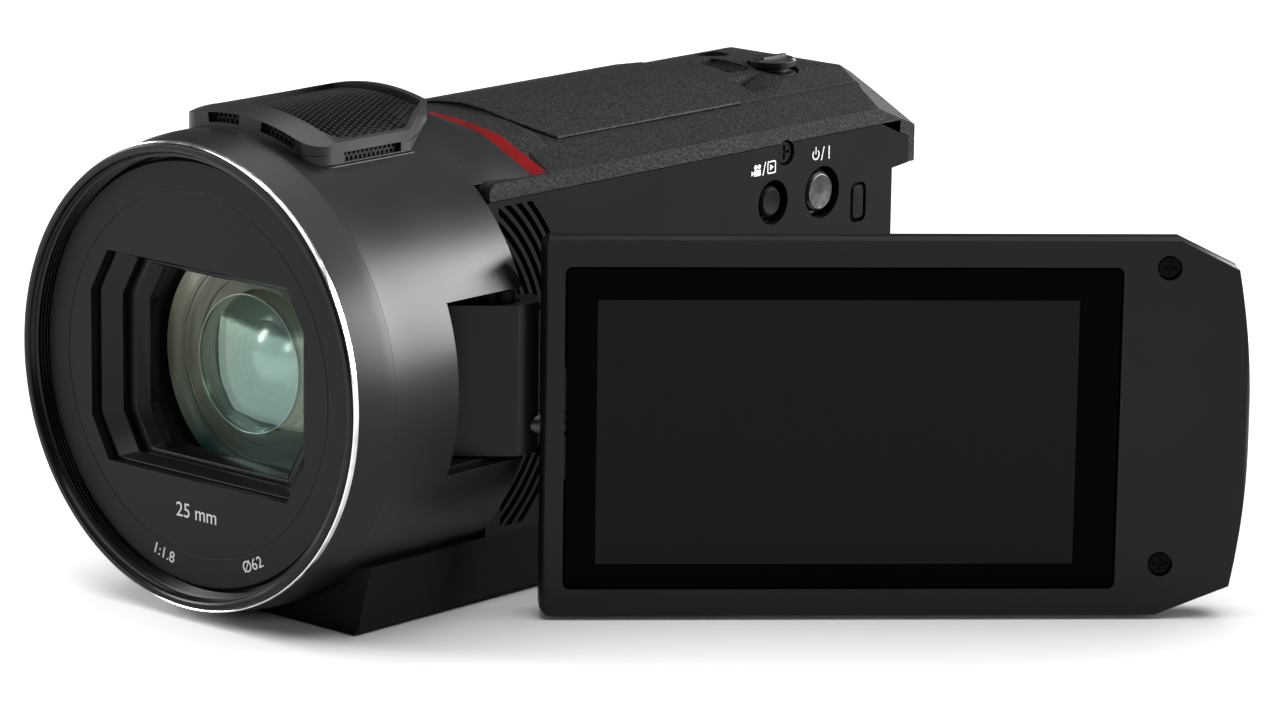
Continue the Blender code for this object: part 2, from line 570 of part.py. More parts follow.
def screen():
    swing = bpy.data.objects.new("swing_axis", None)
    swing.location = (MM * SWING_X, MM * SWING_Y, 0)
    swing.rotation_euler = (0, 0, OPEN_ANGLE)
    swing.parent = ROOT
    tilt = bpy.data.objects.new("tilt_axis", None)
    tilt.location = (0, 0, MM * TILT_Z)
    tilt.parent = swing
    for empty in (swing, tilt):
        PARTS.objects.link(empty)

    lug = [(1.6, -3.7), (4.5, -1.2), (4.5, 3.4), (3.6, 4.0), (-9.8, 4.0), (-12.2, 2.4), (-12.9, 0),
           (-12.2, -2.4), (-10.4, -3.7)]
    block = part("hinge_block", prism(lug, "Z", BLOCK_Z0, BLOCK_Z1), BLACK_MATTE, parent=swing)
    cut(block, disc(1.9, 10, 60, "Z", (0, 0), 32), disc(2.3, -1.6, 6, "X", (0.2, TILT_Z), 32))
    part("swing_pin", disc(1.5, POCKET_Z0 + 0.2, POCKET_Z1 - 0.2, "Z", (0, 0), 24), STEEL, parent=swing)

    def on_panel(mesh):
        for vertex in mesh.vertices:
            vertex.co.z -= MM * TILT_Z
        return mesh

    shaft = part("tilt_shaft", on_panel(disc(1.9, 2.2, 12.0, "X", (0.3, TILT_Z), 32)), STEEL, parent=tilt)
    fuse(shaft, on_panel(box(7.2, 12.0, -0.3, 1.8, TILT_Z - 8, TILT_Z + 8)))

    front = part("screen_bezel", on_panel(prism(screen_outline(), "Y", PANEL_FRONT, -0.6)), BLACK_SATIN, parent=tilt)
    opening = rounded(0.5 * GLASS_W + 8.3, TILT_Z, GLASS_W + 2 * GAP, GLASS_H + 2 * GAP, 1.0)
    cut(front, on_panel(prism(opening, "Y", -5, 0)))
    for z in (7.8, 49.9):
        cut(front, on_panel(disc(1.75, -5, -2.0, "Y", (91.2, z), 32)))

    back = part("screen_back", on_panel(loft([(screen_outline(), -0.3), (screen_outline(), 1.2),
                                              (screen_outline(2.2), PANEL_BACK)], "Y")), BLACK_MATTE, parent=tilt)
    cut(back, on_panel(box(6.8, 88.6, -1.0, 2.1, 4.0, 50.4)))
    cut(back, on_panel(disc(2.3, 0, 13, "X", (0.3, TILT_Z), 32)))
    cut(front, on_panel(disc(2.3, 0, 13, "X", (0.3, TILT_Z), 32)))

    part("screen_glass", on_panel(prism(rounded(0.5 * GLASS_W + 8.3, TILT_Z, GLASS_W, GLASS_H, 0.7), "Y", -3.6, -2.6)),
         BLACK_GLOSS, parent=tilt)
    part("screen_module", on_panel(box(13.0, 80.0, -2.3, 0.9, 6.6, 47.0)), SCREEN, parent=tilt)
    for name, z in (("screen_screw_lower", 7.8), ("screen_screw_upper", 49.9)):
        screw = part(name, on_panel(disc(1.45, -3.3, -2.3, "Y", (91.2, z), 32)), STEEL, parent=tilt)
        cut(screw, on_panel(box(90.2, 92.2, -4, -3.0, z - 0.2, z + 0.2)),
            on_panel(box(91.0, 91.4, -4, -3.0, z - 1.0, z + 1.0)))


def fasteners():
    y, z = SCREW_AT
    screw = part("side_screw", disc(1.6, SIDE_X - 1.6, SIDE_X - 0.4, "X", SCREW_AT, 24), STEEL)
    cut(screw, box(23.4, 30, y - 1.1, y + 1.1, z - 0.2, z + 0.2), box(23.4, 30, y - 0.2, y + 0.2, z - 1.1, z + 1.1))


lens_front()
lens_inside()
barrel()
microphone()
top()
accent()
left_side()
right_side()
base()
rear()
inside()
controls()
battery()
doors()
strap()
screen()
fasteners()
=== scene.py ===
"""Looks of the camcorder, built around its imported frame.

Lengths are in millimetres and each Y is counted from the front rim, as in the part's source.
The frame's origin lies ORIGIN_BACK behind that rim. Every mesh is made in the frame's own place.
"""
import math

import bmesh
import bpy
from mathutils import Matrix, Vector


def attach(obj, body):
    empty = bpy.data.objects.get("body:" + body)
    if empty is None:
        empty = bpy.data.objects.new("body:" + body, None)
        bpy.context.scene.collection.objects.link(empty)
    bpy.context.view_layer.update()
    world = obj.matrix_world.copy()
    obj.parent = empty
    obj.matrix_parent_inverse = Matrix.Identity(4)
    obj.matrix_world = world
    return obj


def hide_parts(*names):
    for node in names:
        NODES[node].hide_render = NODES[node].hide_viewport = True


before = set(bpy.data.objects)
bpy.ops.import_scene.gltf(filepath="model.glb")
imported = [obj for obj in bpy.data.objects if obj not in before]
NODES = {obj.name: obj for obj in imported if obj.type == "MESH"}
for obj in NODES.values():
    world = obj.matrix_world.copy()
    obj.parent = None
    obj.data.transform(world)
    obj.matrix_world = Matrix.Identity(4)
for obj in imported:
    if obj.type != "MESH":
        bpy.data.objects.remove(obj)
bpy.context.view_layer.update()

MM = 0.001
WELD = 1e-6
ORIGIN_BACK = 50.0
FINE = 192              # steps round the big turned pieces
SHARP_ANGLE = 35        # degrees, where a piece without a bevel keeps a hard edge

AXIS_Z = 34.2
LENS = (0, AXIS_Z)
BARREL_R = 33.5
SIDE_X = 24.2
BAND_Y = 47.4
REAR_Y, OVERHANG_Y, OVERHANG_Z = 122.4, 127.8, 50.6
SEAM_Z, LEDGE_Z, TOP_Z, BASE_Z = 57.2, 59.65, 65.35, 9.4
TONGUE_Y, RAKE_Y = 34.8, 47.1
SWING = (28.9, 33.2)
POCKET_R, POCKET_REAR, POCKET_LOW, POCKET_HIGH = 13.7, 38.0, 22.9, 46.2
OPEN_ANGLE = math.radians(45)
TILT_Z = 27.1
POWER, MODE, LEVEL = (106.2, 48.8), (95.1, 48.8), (114.6, 46.1)
LEVER_AT, PHOTO_AT = (7.4, 114.2), (-4.5, 113.5)
SPEAKER_AT = (3.2, 107.2)
SCREW_AT, RECORD_AT = (97.8, 55.8), (17.0, 32.0)
STRAP_Z, STRAP_HALF = 32.5, 10.6
CROWN_FALL = 0.0078     # how fast the flattened crown over the lens falls away, per mm
SHOULDER_TURN = 62      # degrees above level where a flared band leaves the circle
MIC_ROOF_R, MIC_MESH_R = 36.3, 34.75
MIC_SLOTS = {"near": (70.5, 81.5), "far": (88.5, 98.5)}     # degrees round the lens axis
SIGN_DEPTH = (-0.01, 0.03)


def added(obj):
    bpy.context.scene.collection.objects.link(obj)
    return obj


# ---------------------------------------------------------------- materials

def shader_of(made):
    return made.node_tree.nodes["Principled BSDF"]


def surface(slot, colour, roughness, metallic=0.0, **sockets):
    """A Principled material that carries the name of the slot it belongs to."""
    made = bpy.data.materials.new("look_" + slot)
    made.use_nodes = True
    made["slot"] = slot
    shader = shader_of(made)
    shader.inputs["Base Color"].default_value = (*colour, 1)
    shader.inputs["Roughness"].default_value = roughness
    shader.inputs["Metallic"].default_value = metallic
    for name, value in sockets.items():
        shader.inputs[name.replace("_", " ")].default_value = value
    return made


def texture(made, kind, scale, stretch=(1, 1, 1), **inputs):
    """A texture in the piece's own metres; its grey output."""
    tree = made.node_tree
    coords = tree.nodes.new("ShaderNodeTexCoord")
    place = tree.nodes.new("ShaderNodeMapping")
    place.inputs["Scale"].default_value = stretch
    found = tree.nodes.new(kind)
    found.inputs["Scale"].default_value = scale
    for name, value in inputs.items():
        found.inputs[name].default_value = value
    tree.links.new(coords.outputs["Object"], place.inputs["Vector"])
    tree.links.new(place.outputs["Vector"], found.inputs["Vector"])
    return found.outputs[0]


def tinted(made, value, dark, light, start=0.35, end=0.65):
    """Base colour from dark to light with the value."""
    ramp = made.node_tree.nodes.new("ShaderNodeValToRGB")
    for stop, place, colour in zip(ramp.color_ramp.elements, (start, end), (dark, light)):
        stop.position, stop.color = place, (*colour, 1)
    made.node_tree.links.new(value, ramp.inputs["Fac"])
    made.node_tree.links.new(ramp.outputs["Color"], shader_of(made).inputs["Base Color"])


def rough(made, value, low, high):
    """Roughness from low to high over the middle of the value's range."""
    step = made.node_tree.nodes.new("ShaderNodeMapRange")
    for name, number in (("From Min", 0.3), ("From Max", 0.7), ("To Min", low), ("To Max", high)):
        step.inputs[name].default_value = number
    made.node_tree.links.new(value, step.inputs["Value"])
    made.node_tree.links.new(step.outputs["Result"], shader_of(made).inputs["Roughness"])


def bumped(made, value, depth):
    """Surface relief from the value, depth in millimetres."""
    bump = made.node_tree.nodes.new("ShaderNodeBump")
    bump.inputs["Distance"].default_value = depth * MM
    bump.inputs["Strength"].default_value = 1.0
    made.node_tree.links.new(value, bump.inputs["Height"])
    made.node_tree.links.new(bump.outputs["Normal"], shader_of(made).inputs["Normal"])


def grey(value):
    return (value, value, value * 1.03)


def plastic(slot, base, roughness, grain, depth, fleck=0.35, **sockets):
    """Moulded plastic: a fine grain of the given size in millimetres, and slow changes in gloss."""
    made = surface(slot, grey(base), roughness, **sockets)
    fine = texture(made, "ShaderNodeTexNoise", 1 / (grain * MM), Detail=3.0, Roughness=0.6)
    slow = texture(made, "ShaderNodeTexNoise", 45, Detail=2.0)
    tinted(made, fine, grey(base * (1 - fleck)), grey(base * (1 + fleck)))
    rough(made, slow, roughness - 0.05, roughness + 0.05)
    bumped(made, fine, depth)
    return made


def metal(slot, colour, roughness, stretch, scale=900, depth=0.004):
    """Metal with the fine lines its finishing left, drawn out along one direction."""
    made = surface(slot, colour, roughness, 1.0)
    lines = texture(made, "ShaderNodeTexNoise", scale, stretch, Detail=2.0)
    tinted(made, lines, [c * 0.82 for c in colour], [min(1, c * 1.12) for c in colour], 0.3, 0.7)
    rough(made, lines, roughness * 0.8, roughness * 1.25)
    bumped(made, lines, depth)
    return made


SATIN = plastic("satin_black", 0.003, 0.33, 0.16, 0.002, 0.12, Specular_IOR_Level=0.2)
PLATE = plastic("satin_black", 0.005, 0.42, 0.16, 0.003, 0.12, Specular_IOR_Level=0.13)
MATTE = plastic("matte_black", 0.0035, 0.44, 0.22, 0.006, 0.25, Specular_IOR_Level=0.035)
LID = plastic("grain_black", 0.006, 0.45, 0.22, 0.004, 0.2, Specular_IOR_Level=0.1)
RIM = plastic("matte_black", 0.004, 0.36, 0.22, 0.003, 0.2, Specular_IOR_Level=0.3)
GRAIN = plastic("grain_black", 0.007, 0.5, 0.42, 0.13, 0.95, Specular_IOR_Level=0.07)
GLOSSY = plastic("gloss_black", 0.002, 0.22, 0.3, 0.001, 0.1, Specular_IOR_Level=0.2)
DEEP = plastic("matte_black", 0.002, 0.6, 0.3, 0.006, 0.2, Specular_IOR_Level=0.2)
CHROME = metal("chrome", (0.86, 0.86, 0.88), 0.16, (1, 0.05, 1), 500, 0.001)
STEEL = metal("steel", (0.42, 0.42, 0.44), 0.32, (1, 1, 0.04))
DARK_STEEL = metal("steel", (0.05, 0.05, 0.052), 0.3, (1, 1, 1), 700)
BRASS = metal("brass", (0.72, 0.52, 0.22), 0.3, (1, 0.05, 1))
BOARD = plastic("board", 0.05, 0.45, 0.9, 0.01, 0.4)
tinted(BOARD, texture(BOARD, "ShaderNodeTexVoronoi", 420),
       (0.01, 0.09, 0.035), (0.02, 0.16, 0.06), 0.2, 0.5)
RED = plastic("red", 0.1, 0.35, 0.5, 0.001, 0.1, Specular_IOR_Level=0.05)
tinted(RED, texture(RED, "ShaderNodeTexNoise", 260, Detail=2.0),
       (0.065, 0.0006, 0.001), (0.1, 0.001, 0.0015))
MARK = plastic("satin_black", 0.45, 0.5, 0.2, 0.001, 0.06)
PANE = plastic("gloss_black", 0.0003, 0.05, 0.3, 0.0002, 0.05, Specular_IOR_Level=0.015)
ACTIVE = plastic("screen_black", 0.0065, 0.06, 0.3, 0.0002, 0.03, Specular_IOR_Level=0.05)


def glass(slot, tint, alpha, roughness, metallic):
    """Coated lens glass: the coating's colour drifts across it, and part of the light goes through."""
    made = surface(slot, tint, roughness, metallic, Alpha=alpha, Coat_Weight=0.6)
    drift = texture(made, "ShaderNodeTexNoise", 28, Detail=1.0)
    warm = (tint[0] * 1.15, tint[1] * 1.02, tint[2] * 0.86)
    tinted(made, drift, warm, tint, 0.4, 0.6)
    rough(made, drift, roughness, roughness + 0.03)
    return made


def coating():
    """Coated glass behind the front lens, with a painted reflection: dark on one side of the camera, pale
    on the other.
    """
    made = surface("lens_glass", (0.2, 0.26, 0.2), 0.3, 0.2, Coat_Weight=0.5)
    tree = made.node_tree
    drift = texture(made, "ShaderNodeTexNoise", 14, Detail=1.0)
    # A gradient fixed on the piece: the painted reflection, pale on one side and dark on the other.
    sweep = tree.nodes.new("ShaderNodeTexGradient")
    place = tree.nodes.new("ShaderNodeMapping")
    place.inputs["Rotation"].default_value = (0, math.radians(35), 0)
    place.inputs["Scale"].default_value = (-28, 28, 28)
    place.inputs["Location"].default_value = (-0.35, 0, 0)
    tree.links.new(tree.nodes["Texture Coordinate"].outputs["Object"], place.inputs["Vector"])
    tree.links.new(place.outputs["Vector"], sweep.inputs["Vector"])
    drift_and_painted_reflection = tree.nodes.new("ShaderNodeMath")
    drift_and_painted_reflection.operation = "MULTIPLY_ADD"
    tree.links.new(drift, drift_and_painted_reflection.inputs[0])
    drift_and_painted_reflection.inputs[1].default_value = 0.25
    tree.links.new(sweep.outputs["Fac"], drift_and_painted_reflection.inputs[2])
    # Base colour runs from the coating's dark teal to a pale olive painted reflection.
    tinted(made, drift_and_painted_reflection.outputs[0], (0.012, 0.045, 0.036), (0.42, 0.43, 0.31), 0.35, 1.0)
    rough(made, drift, 0.25, 0.4)
    return made


def webbing():
    """Woven band: ribs across it and along it."""
    made = surface("webbing", grey(0.02), 0.8, Sheen_Weight=0.12, Sheen_Roughness=0.5)
    tree = made.node_tree
    weave = tree.nodes.new("ShaderNodeMath")
    weave.operation = "MULTIPLY"
    for k, (scale, direction) in enumerate(((230, "Z"), (300, "Y"))):
        ribs = texture(made, "ShaderNodeTexWave", scale, Distortion=0.4, Detail=1.0)
        ribs.node.bands_direction = direction
        tree.links.new(ribs, weave.inputs[k])
    tinted(made, weave.outputs[0], grey(0.008), grey(0.02), 0.1, 0.9)
    bumped(made, weave.outputs[0], 0.12)
    return made


FRONT_GLASS = glass("lens_glass", (0.3, 0.36, 0.27), 0.22, 0.04, 0.7)
ZONE_GLASS = glass("lens_glass", (0.26, 0.42, 0.37), 0.34, 0.04, 0.75)
DEEP_GLASS = glass("lens_glass", (0.14, 0.24, 0.2), 1.0, 0.3, 0.6)
INNER_GLASS = glass("lens_glass", (0.34, 0.48, 0.43), 1.0, 0.2, 0.8)
# Coated glass whose colour carries a painted reflection.
COATING_AND_PAINTED_REFLECTION = coating()
WEB = webbing()


# ---------------------------------------------------------------- shapes

def spot(x, y, z):
    return Vector((x, y - ORIGIN_BACK, z)) * MM


def along(axis, a, b, h):
    """A point from its two coordinates across the axis and its distance along it."""
    return {"X": (h, a, b), "Y": (a, h, b), "Z": (a, b, h)}[axis]


def closed(work):
    """The mesh of a finished bmesh, welded and with its faces turned outwards."""
    bmesh.ops.remove_doubles(work, verts=work.verts, dist=1e-7)
    bmesh.ops.recalc_face_normals(work, faces=work.faces)
    mesh = bpy.data.meshes.new("shape")
    work.to_mesh(mesh)
    work.free()
    return mesh


def prism(outline, axis, start, end):
    """An outline drawn square to the axis, pulled from start to end."""
    work = bmesh.new()
    face = work.faces.new([work.verts.new(spot(*along(axis, a, b, start))) for a, b in outline])
    pulled = bmesh.ops.extrude_face_region(work, geom=[face])["geom"]
    move = Vector(along(axis, 0, 0, end - start)) * MM
    top = [v for v in pulled if isinstance(v, bmesh.types.BMVert)]
    bmesh.ops.translate(work, verts=top, vec=move)
    return closed(work)


def skinned(work, rings):
    """The closed mesh of rings of points joined one to the next, with a face on each end."""
    work.faces.new(rings[0])
    work.faces.new(rings[-1])
    for low, high in zip(rings, rings[1:]):
        for i in range(len(low)):
            j = (i + 1) % len(low)
            work.faces.new((low[i], low[j], high[j], high[i]))
    return closed(work)


def loft(rings, axis):
    """Outlines of equal length at successive heights, joined by a skin: [(outline, height), ...]."""
    work = bmesh.new()
    return skinned(work, [[work.verts.new(spot(*along(axis, a, b, h))) for a, b in outline]
                          for outline, h in rings])


def turned(profile, axis, centre=(0, 0), steps=FINE):
    """A closed profile of (radius, height) spun round the axis through centre."""
    work = bmesh.new()
    spots = [work.verts.new(spot(*along(axis, centre[0] + r, centre[1], h))) for r, h in profile]
    edges = [work.edges.new((spots[i - 1], spots[i])) for i in range(len(spots))
             if profile[i - 1][0] > 0 or profile[i][0] > 0]
    bmesh.ops.spin(work, geom=spots + edges, cent=spot(*along(axis, *centre, 0)),
                   axis=along(axis, 0, 0, 1), angle=2 * math.pi, steps=steps, use_merge=True)
    return closed(work)


def ring(r_in, r_out, start, end, axis, centre=(0, 0), steps=96):
    return turned([(r_in, start), (r_out, start), (r_out, end), (r_in, end)], axis, centre, steps)


def disc(r, start, end, axis, centre=(0, 0), steps=64):
    """A plain round bar, as a cutter or a blank."""
    turn = {"X": Matrix.Rotation(math.pi / 2, 4, "Y"), "Y": Matrix.Rotation(math.pi / 2, 4, "X"),
            "Z": Matrix.Identity(4)}[axis]
    place = Matrix.Translation(spot(*along(axis, *centre, 0.5 * (start + end)))) @ turn
    work = bmesh.new()
    bmesh.ops.create_cone(work, cap_ends=True, segments=steps, radius1=r * MM, radius2=r * MM,
                          depth=(end - start) * MM, matrix=place)
    return closed(work)


def box(x0, x1, y0, y1, z0, z1):
    centre = spot(0.5 * (x0 + x1), 0.5 * (y0 + y1), 0.5 * (z0 + z1))
    place = Matrix.LocRotScale(centre, None, (x1 - x0, y1 - y0, z1 - z0))
    work = bmesh.new()
    bmesh.ops.create_cube(work, size=MM, matrix=place)
    return closed(work)


def arc(cx, cy, r, start, end, steps):
    """Points on an arc, angles in degrees."""
    turns = [math.radians(start + (end - start) * k / steps) for k in range(steps + 1)]
    return [(cx + r * math.cos(t), cy + r * math.sin(t)) for t in turns]


def rounded(cx, cy, w, h, r, steps=8):
    """A rectangle of w by h with its corners rounded."""
    points = []
    for sx, sy, start in ((1, 1, 0), (-1, 1, 90), (-1, -1, 180), (1, -1, 270)):
        points += arc(cx + sx * (w / 2 - r), cy + sy * (h / 2 - r), r, start, start + 90, steps)
    return points


def octagon(half_w, half_h, cut_w, cut_h):
    """A rectangle round the lens axis with its corners cut off."""
    points = []
    for sx, sy in ((1, 1), (-1, 1), (-1, -1), (1, -1)):
        pair = [(sx * half_w, AXIS_Z + sy * (half_h - cut_h)),
                (sx * (half_w - cut_w), AXIS_Z + sy * half_h)]
        points += pair if sx * sy > 0 else pair[::-1]
    return points


def evaluated(obj):
    """The mesh that the object's modifiers or curve make. The object itself is used up."""
    bpy.context.view_layer.update()
    graph = bpy.context.evaluated_depsgraph_get()
    made = bpy.data.meshes.new_from_object(obj.evaluated_get(graph))
    bpy.data.objects.remove(obj)
    return made


def carve(mesh, operation, others):
    """The mesh after one Boolean with each of the others, which are used up."""
    target = added(bpy.data.objects.new("blank", mesh))
    tools = [added(bpy.data.objects.new("tool", other)) for other in others]
    for tool in tools:
        step = target.modifiers.new("step", "BOOLEAN")
        step.operation, step.solver, step.object = operation, "EXACT", tool
    made = evaluated(target)
    for tool in tools:
        bpy.data.objects.remove(tool)
    made.materials.clear()
    return made


def cut(mesh, *others):
    return carve(mesh, "DIFFERENCE", others)


def fuse(mesh, *others):
    return carve(mesh, "UNION", others)


def keep(mesh, *others):
    return carve(mesh, "INTERSECT", others)


def shade(obj, bevel, segments=2, angle=28):
    """Rounded edges that catch the light, and flat faces that stay flat."""
    obj.data.shade_smooth()
    step = obj.modifiers.new("edges", "BEVEL")
    step.width, step.segments, step.limit_method = bevel * MM, segments, "ANGLE"
    step.angle_limit, step.harden_normals = math.radians(angle), True
    step.use_clamp_overlap = True
    obj.modifiers.new("shading", "WEIGHTED_NORMAL").weight = 80


def piece(name, mesh, look, body="body", stands_for=(), bevel=0.15, segments=2, angle=28):
    """A finished piece that rides on a body and, where it stands for CAD nodes, hides them."""
    obj = added(bpy.data.objects.new(name, mesh))
    mesh.materials.clear()
    mesh.materials.append(look)
    if bevel:
        shade(obj, bevel, segments, angle)
    else:
        mesh.shade_smooth()
        mesh.set_sharp_from_angle(angle=math.radians(SHARP_ANGLE))
    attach(obj, body)
    if stands_for:
        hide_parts(*stands_for)
    return obj


# ---------------------------------------------------------------- lens front

def lens_front():
    trim = [(32.4, -0.15), (32.55, -0.22), (32.68, -0.1), (32.7, 0.05), (32.7, 0.62), (32.4, 0.62)]
    piece("trim_ring", turned(trim, "Y", LENS), CHROME, stands_for=["front_trim_ring"], bevel=0)
    thread = [(32.35, 0.7), (32.35, -0.3), (32.2, -0.48), (31.6, -0.5), (31.3, -0.35), (31.15, 0.1),
              (30.95, 0.3)]
    for k in range(5):
        y = 0.5 + 0.58 * k
        thread += [(30.9, y), (30.5, y + 0.16), (30.5, y + 0.3), (30.9, y + 0.46)]
    thread += [(30.9, 3.6), (29.2, 3.6), (29.2, 4.6), (31.4, 4.6), (31.4, 0.7)]
    piece("thread_ring", turned(thread, "Y", LENS), GLOSSY, stands_for=["filter_ring"], bevel=0.05)
    face = [(0, 2.0), (25.5, 2.0), (25.58, 2.1), (25.66, 2.0), (29.7, 2.0), (30.1, 2.35), (30.1, 3.3),
            (0, 3.3)]
    window = prism(octagon(21.0, 15.0, 3.4, 6.0), "Y", 0, 6)
    plate = cut(turned(face, "Y", LENS), window)
    piece("front_plate", plate, PLATE, stands_for=["name_ring"], bevel=0.12)

    wide, narrow = octagon(20.8, 14.8, 3.4, 6.0), octagon(18.0, 13.8, 3.2, 5.6)
    hood = cut(disc(28.9, 3.6, 6.0, "Y", LENS, 128),
               loft([(wide, 3.5), (narrow, 5.2), (narrow, 6.1)], "Y"))
    piece("window_frame_outer", hood, SATIN, stands_for=["lens_hood"], bevel=0.1)
    first, second = octagon(16.6, 13.3, 3.0, 5.2), octagon(15.2, 12.6, 3.0, 5.0)
    mask = cut(disc(28.9, 6.3, 9.4, "Y", LENS, 128),
               loft([(first, 6.2), (second, 7.8), (second, 9.5)], "Y"))
    piece("window_frame_inner", mask, SATIN, stands_for=["lens_mask"], bevel=0.1)


def dome(apex, curve, r_in, r_out, thick):
    """The profile of a shell of glass with its front on a sphere, from one radius to another."""
    steps = 24

    def depth(r):
        return apex + curve - math.sqrt(curve * curve - r * r)
    radii = [r_in + (r_out - r_in) * k / steps for k in range(steps + 1)]
    return [(r, depth(r)) for r in radii] + [(r, depth(r) + thick) for r in radii[::-1]]


def lens_inside():
    """The front lens in two zones of coating, the glass and the coated funnel behind it, which carries a
    painted reflection, and baffles.
    """
    cell = [(17.5, 9.7), (20.4, 9.7), (20.4, 17.4), (17.9, 17.4), (17.9, 11.2), (17.5, 11.2)]
    funnel = [(17.2, 12.9), (14.6, 13.6), (14.5, 13.9), (12.2, 14.5), (12.1, 14.8), (10.0, 15.3),
              (10.0, 15.8), (17.2, 13.6)]
    zone_edge = [(9.74, 12.0), (9.8, 12.0), (9.8, 12.6), (9.74, 12.6)]
    piece("glass_cell", turned(cell, "Y", LENS), DEEP, stands_for=["front_lens_cell"], bevel=0.1)
    for name, profile, look, steps, stands_for in (
            ("front_glass", dome(10.8, 45.0, 9.8, 17.2, 0.9), FRONT_GLASS, 160, ["front_lens"]),
            ("front_glass_zone", dome(10.86, 40.0, 0, 9.74, 0.9), ZONE_GLASS, 160, []),
            ("zone_edge", zone_edge, INNER_GLASS, 160, []),
            ("second_glass", dome(14.6, 14.0, 5.6, 10.2, 0.8), DEEP_GLASS, 128, []),
            ("third_glass", dome(14.1, 9.0, 0, 5.55, 1.2), INNER_GLASS, 128, []),
            # The coated ring's colour carries a painted reflection.
            ("coated_ring", funnel, COATING_AND_PAINTED_REFLECTION, 160, [])):
        piece(name, turned(profile, "Y", LENS, steps), look, stands_for=stands_for, bevel=0)
    for k, (r, y) in enumerate(((13.2, 19.2), (14.6, 18.2), (16.0, 17.4))):
        piece(f"baffle_{k}", ring(r, r + 1.3, y, y + 0.8, "Y", LENS, 128), DEEP, bevel=0.1)


# ---------------------------------------------------------------- barrel

def pocket_cut(grow=0.0):
    """The space that the hinge block swings in, open to the screen side."""
    r, rear = POCKET_R + grow, POCKET_REAR + grow
    sweep = [(x, min(y, rear)) for x, y in arc(*SWING, r, 90, 270, 48)]
    outline = [(45.0, SWING[1] - r), (45.0, rear)] + sweep
    return prism(outline, "Z", POCKET_LOW - grow, POCKET_HIGH + grow)


def barrel():
    nose = [(31.72, 0.72), (32.66, 0.72), (32.78, 1.5), (33.38, 5.2), (33.49, 6.99), (31.4, 6.99),
            (31.4, 4.9), (31.72, 4.9)]
    piece("barrel_nose", turned(nose, "Y", LENS), SATIN, stands_for=["front_barrel"], bevel=0.015)
    flange = [(BARREL_R, 7.0), (BARREL_R, 34.0), (31.8, 34.0), (31.8, 12.0), (21.0, 12.0), (21.0, 9.8),
              (30.9, 9.8), (30.9, 7.0)]
    shell = cut(turned(flange, "Y", LENS), pocket_cut(0.4), box(-40, 40, 0, 60, -5, 1.2))
    piece("barrel", shell, SATIN, stands_for=["barrel_shell"], bevel=0.02)
    pocket = prism(arc(*SWING, 14.5, 90, 270, 48) + [(SWING[0], SWING[1] - 14.5)], "Z", 22.1, 47.0)
    pocket = cut(pocket, pocket_cut(), box(-5, 60, 38.6, 60, 0, 70), box(22.3, 60, 34.0, 60, 0, 70))
    pocket = keep(pocket, disc(31.5, 0, 60, "Y", LENS, 96))
    piece("pocket", pocket, MATTE, stands_for=["hinge_pocket"], bevel=0.1)


def arch(r, crown, low, flare=0.0):
    """A band over the lens axis, round at its sides, flatter over the top, and open below low. With
    flare, its ends leave the circle and run straight out to that half width."""
    wall, steps = 1.5, 96
    leave = math.radians(SHOULDER_TURN)

    def curve(r, crown, wide):
        start = math.degrees(math.asin((low - AXIS_Z) / r))
        from_x, from_z = r * math.cos(leave), AXIS_Z + r * math.sin(leave)
        from_z = min(from_z, crown - CROWN_FALL * from_x * from_x)
        points = []
        for x, z in arc(0, AXIS_Z, r, start, 180 - start, steps):
            z = min(z, crown - CROWN_FALL * x * x)
            turn = math.degrees(math.atan2(z - AXIS_Z, abs(x)))
            if wide and turn < SHOULDER_TURN:
                share = min(1.0, max(0.0, (SHOULDER_TURN - turn) / (SHOULDER_TURN - start)))
                x = math.copysign(from_x + (wide - from_x) * share, x)
                z = from_z + (low - from_z) * share
            points.append((x, z))
        return points
    return curve(r, crown, flare) + curve(r - wall, crown - wall, flare and flare - wall)[::-1]


def neck():
    low = LEDGE_Z - 0.2
    piece("band", prism(arch(32.9, 65.3, low, 23.9), "Y", BAND_Y - 3.0, BAND_Y - 0.05), RED,
          stands_for=["accent_band"], bevel=0.12)
    end = arch(33.42, 68.0, low)
    skin = loft([(end, 34.05), (end, 36.5), (arch(33.36, 68.0, low, 22.6), 39.2),
                 (arch(33.2, 67.2, low, 23.4), 40.8),
                 (arch(33.1, 65.7, low, 24.0), BAND_Y - 3.15)], "Y")
    piece("neck", skin, SATIN, stands_for=["neck_cover"], bevel=0.1)


# ---------------------------------------------------------------- microphone

def mic_plan(near=15.3, far=11.2, front=9.5, turn=28.2, rear=37.8, across=9.2, r=3.6):
    """The housing from above: a flat front with rounded corners, and a back narrowed from turn on."""
    return (arc(near - r, front + r, r, 0, -90, 12) + arc(r - far, front + r, r, 270, 180, 12)
            + [(-far, turn + 3.4), (-across + 0.8, rear), (across, rear), (near, turn)])


def inside_of(point, outline):
    """Whether the point lies inside the outline, by counting the edges to its right."""
    x, y = point
    odd = False
    for (ax, ay), (bx, by) in zip(outline, outline[1:] + outline[:1]):
        if (ay > y) != (by > y) and x < ax + (bx - ax) * (y - ay) / (by - ay):
            odd = not odd
    return odd


def pierced(outline, holes, thickness):
    """A flat plate with holes, filled by a 2D curve: each hole is (x, y, radius, corners, turn)."""
    curve = bpy.data.curves.new("plate", "CURVE")
    curve.dimensions, curve.fill_mode, curve.extrude = "2D", "BOTH", 0.5 * thickness * MM
    rims = [outline] + [arc(x, y, r, turn, turn + 360, n)[:-1] for x, y, r, n, turn in holes]
    for rim in rims:
        line = curve.splines.new("POLY")
        line.points.add(len(rim) - 1)
        for point, (x, y) in zip(line.points, rim):
            point.co = (MM * x, MM * (y - ORIGIN_BACK), 0, 1)
        line.use_cyclic_u = True
    work = bmesh.new()
    work.from_mesh(evaluated(added(bpy.data.objects.new("plate", curve))))
    return closed(work)


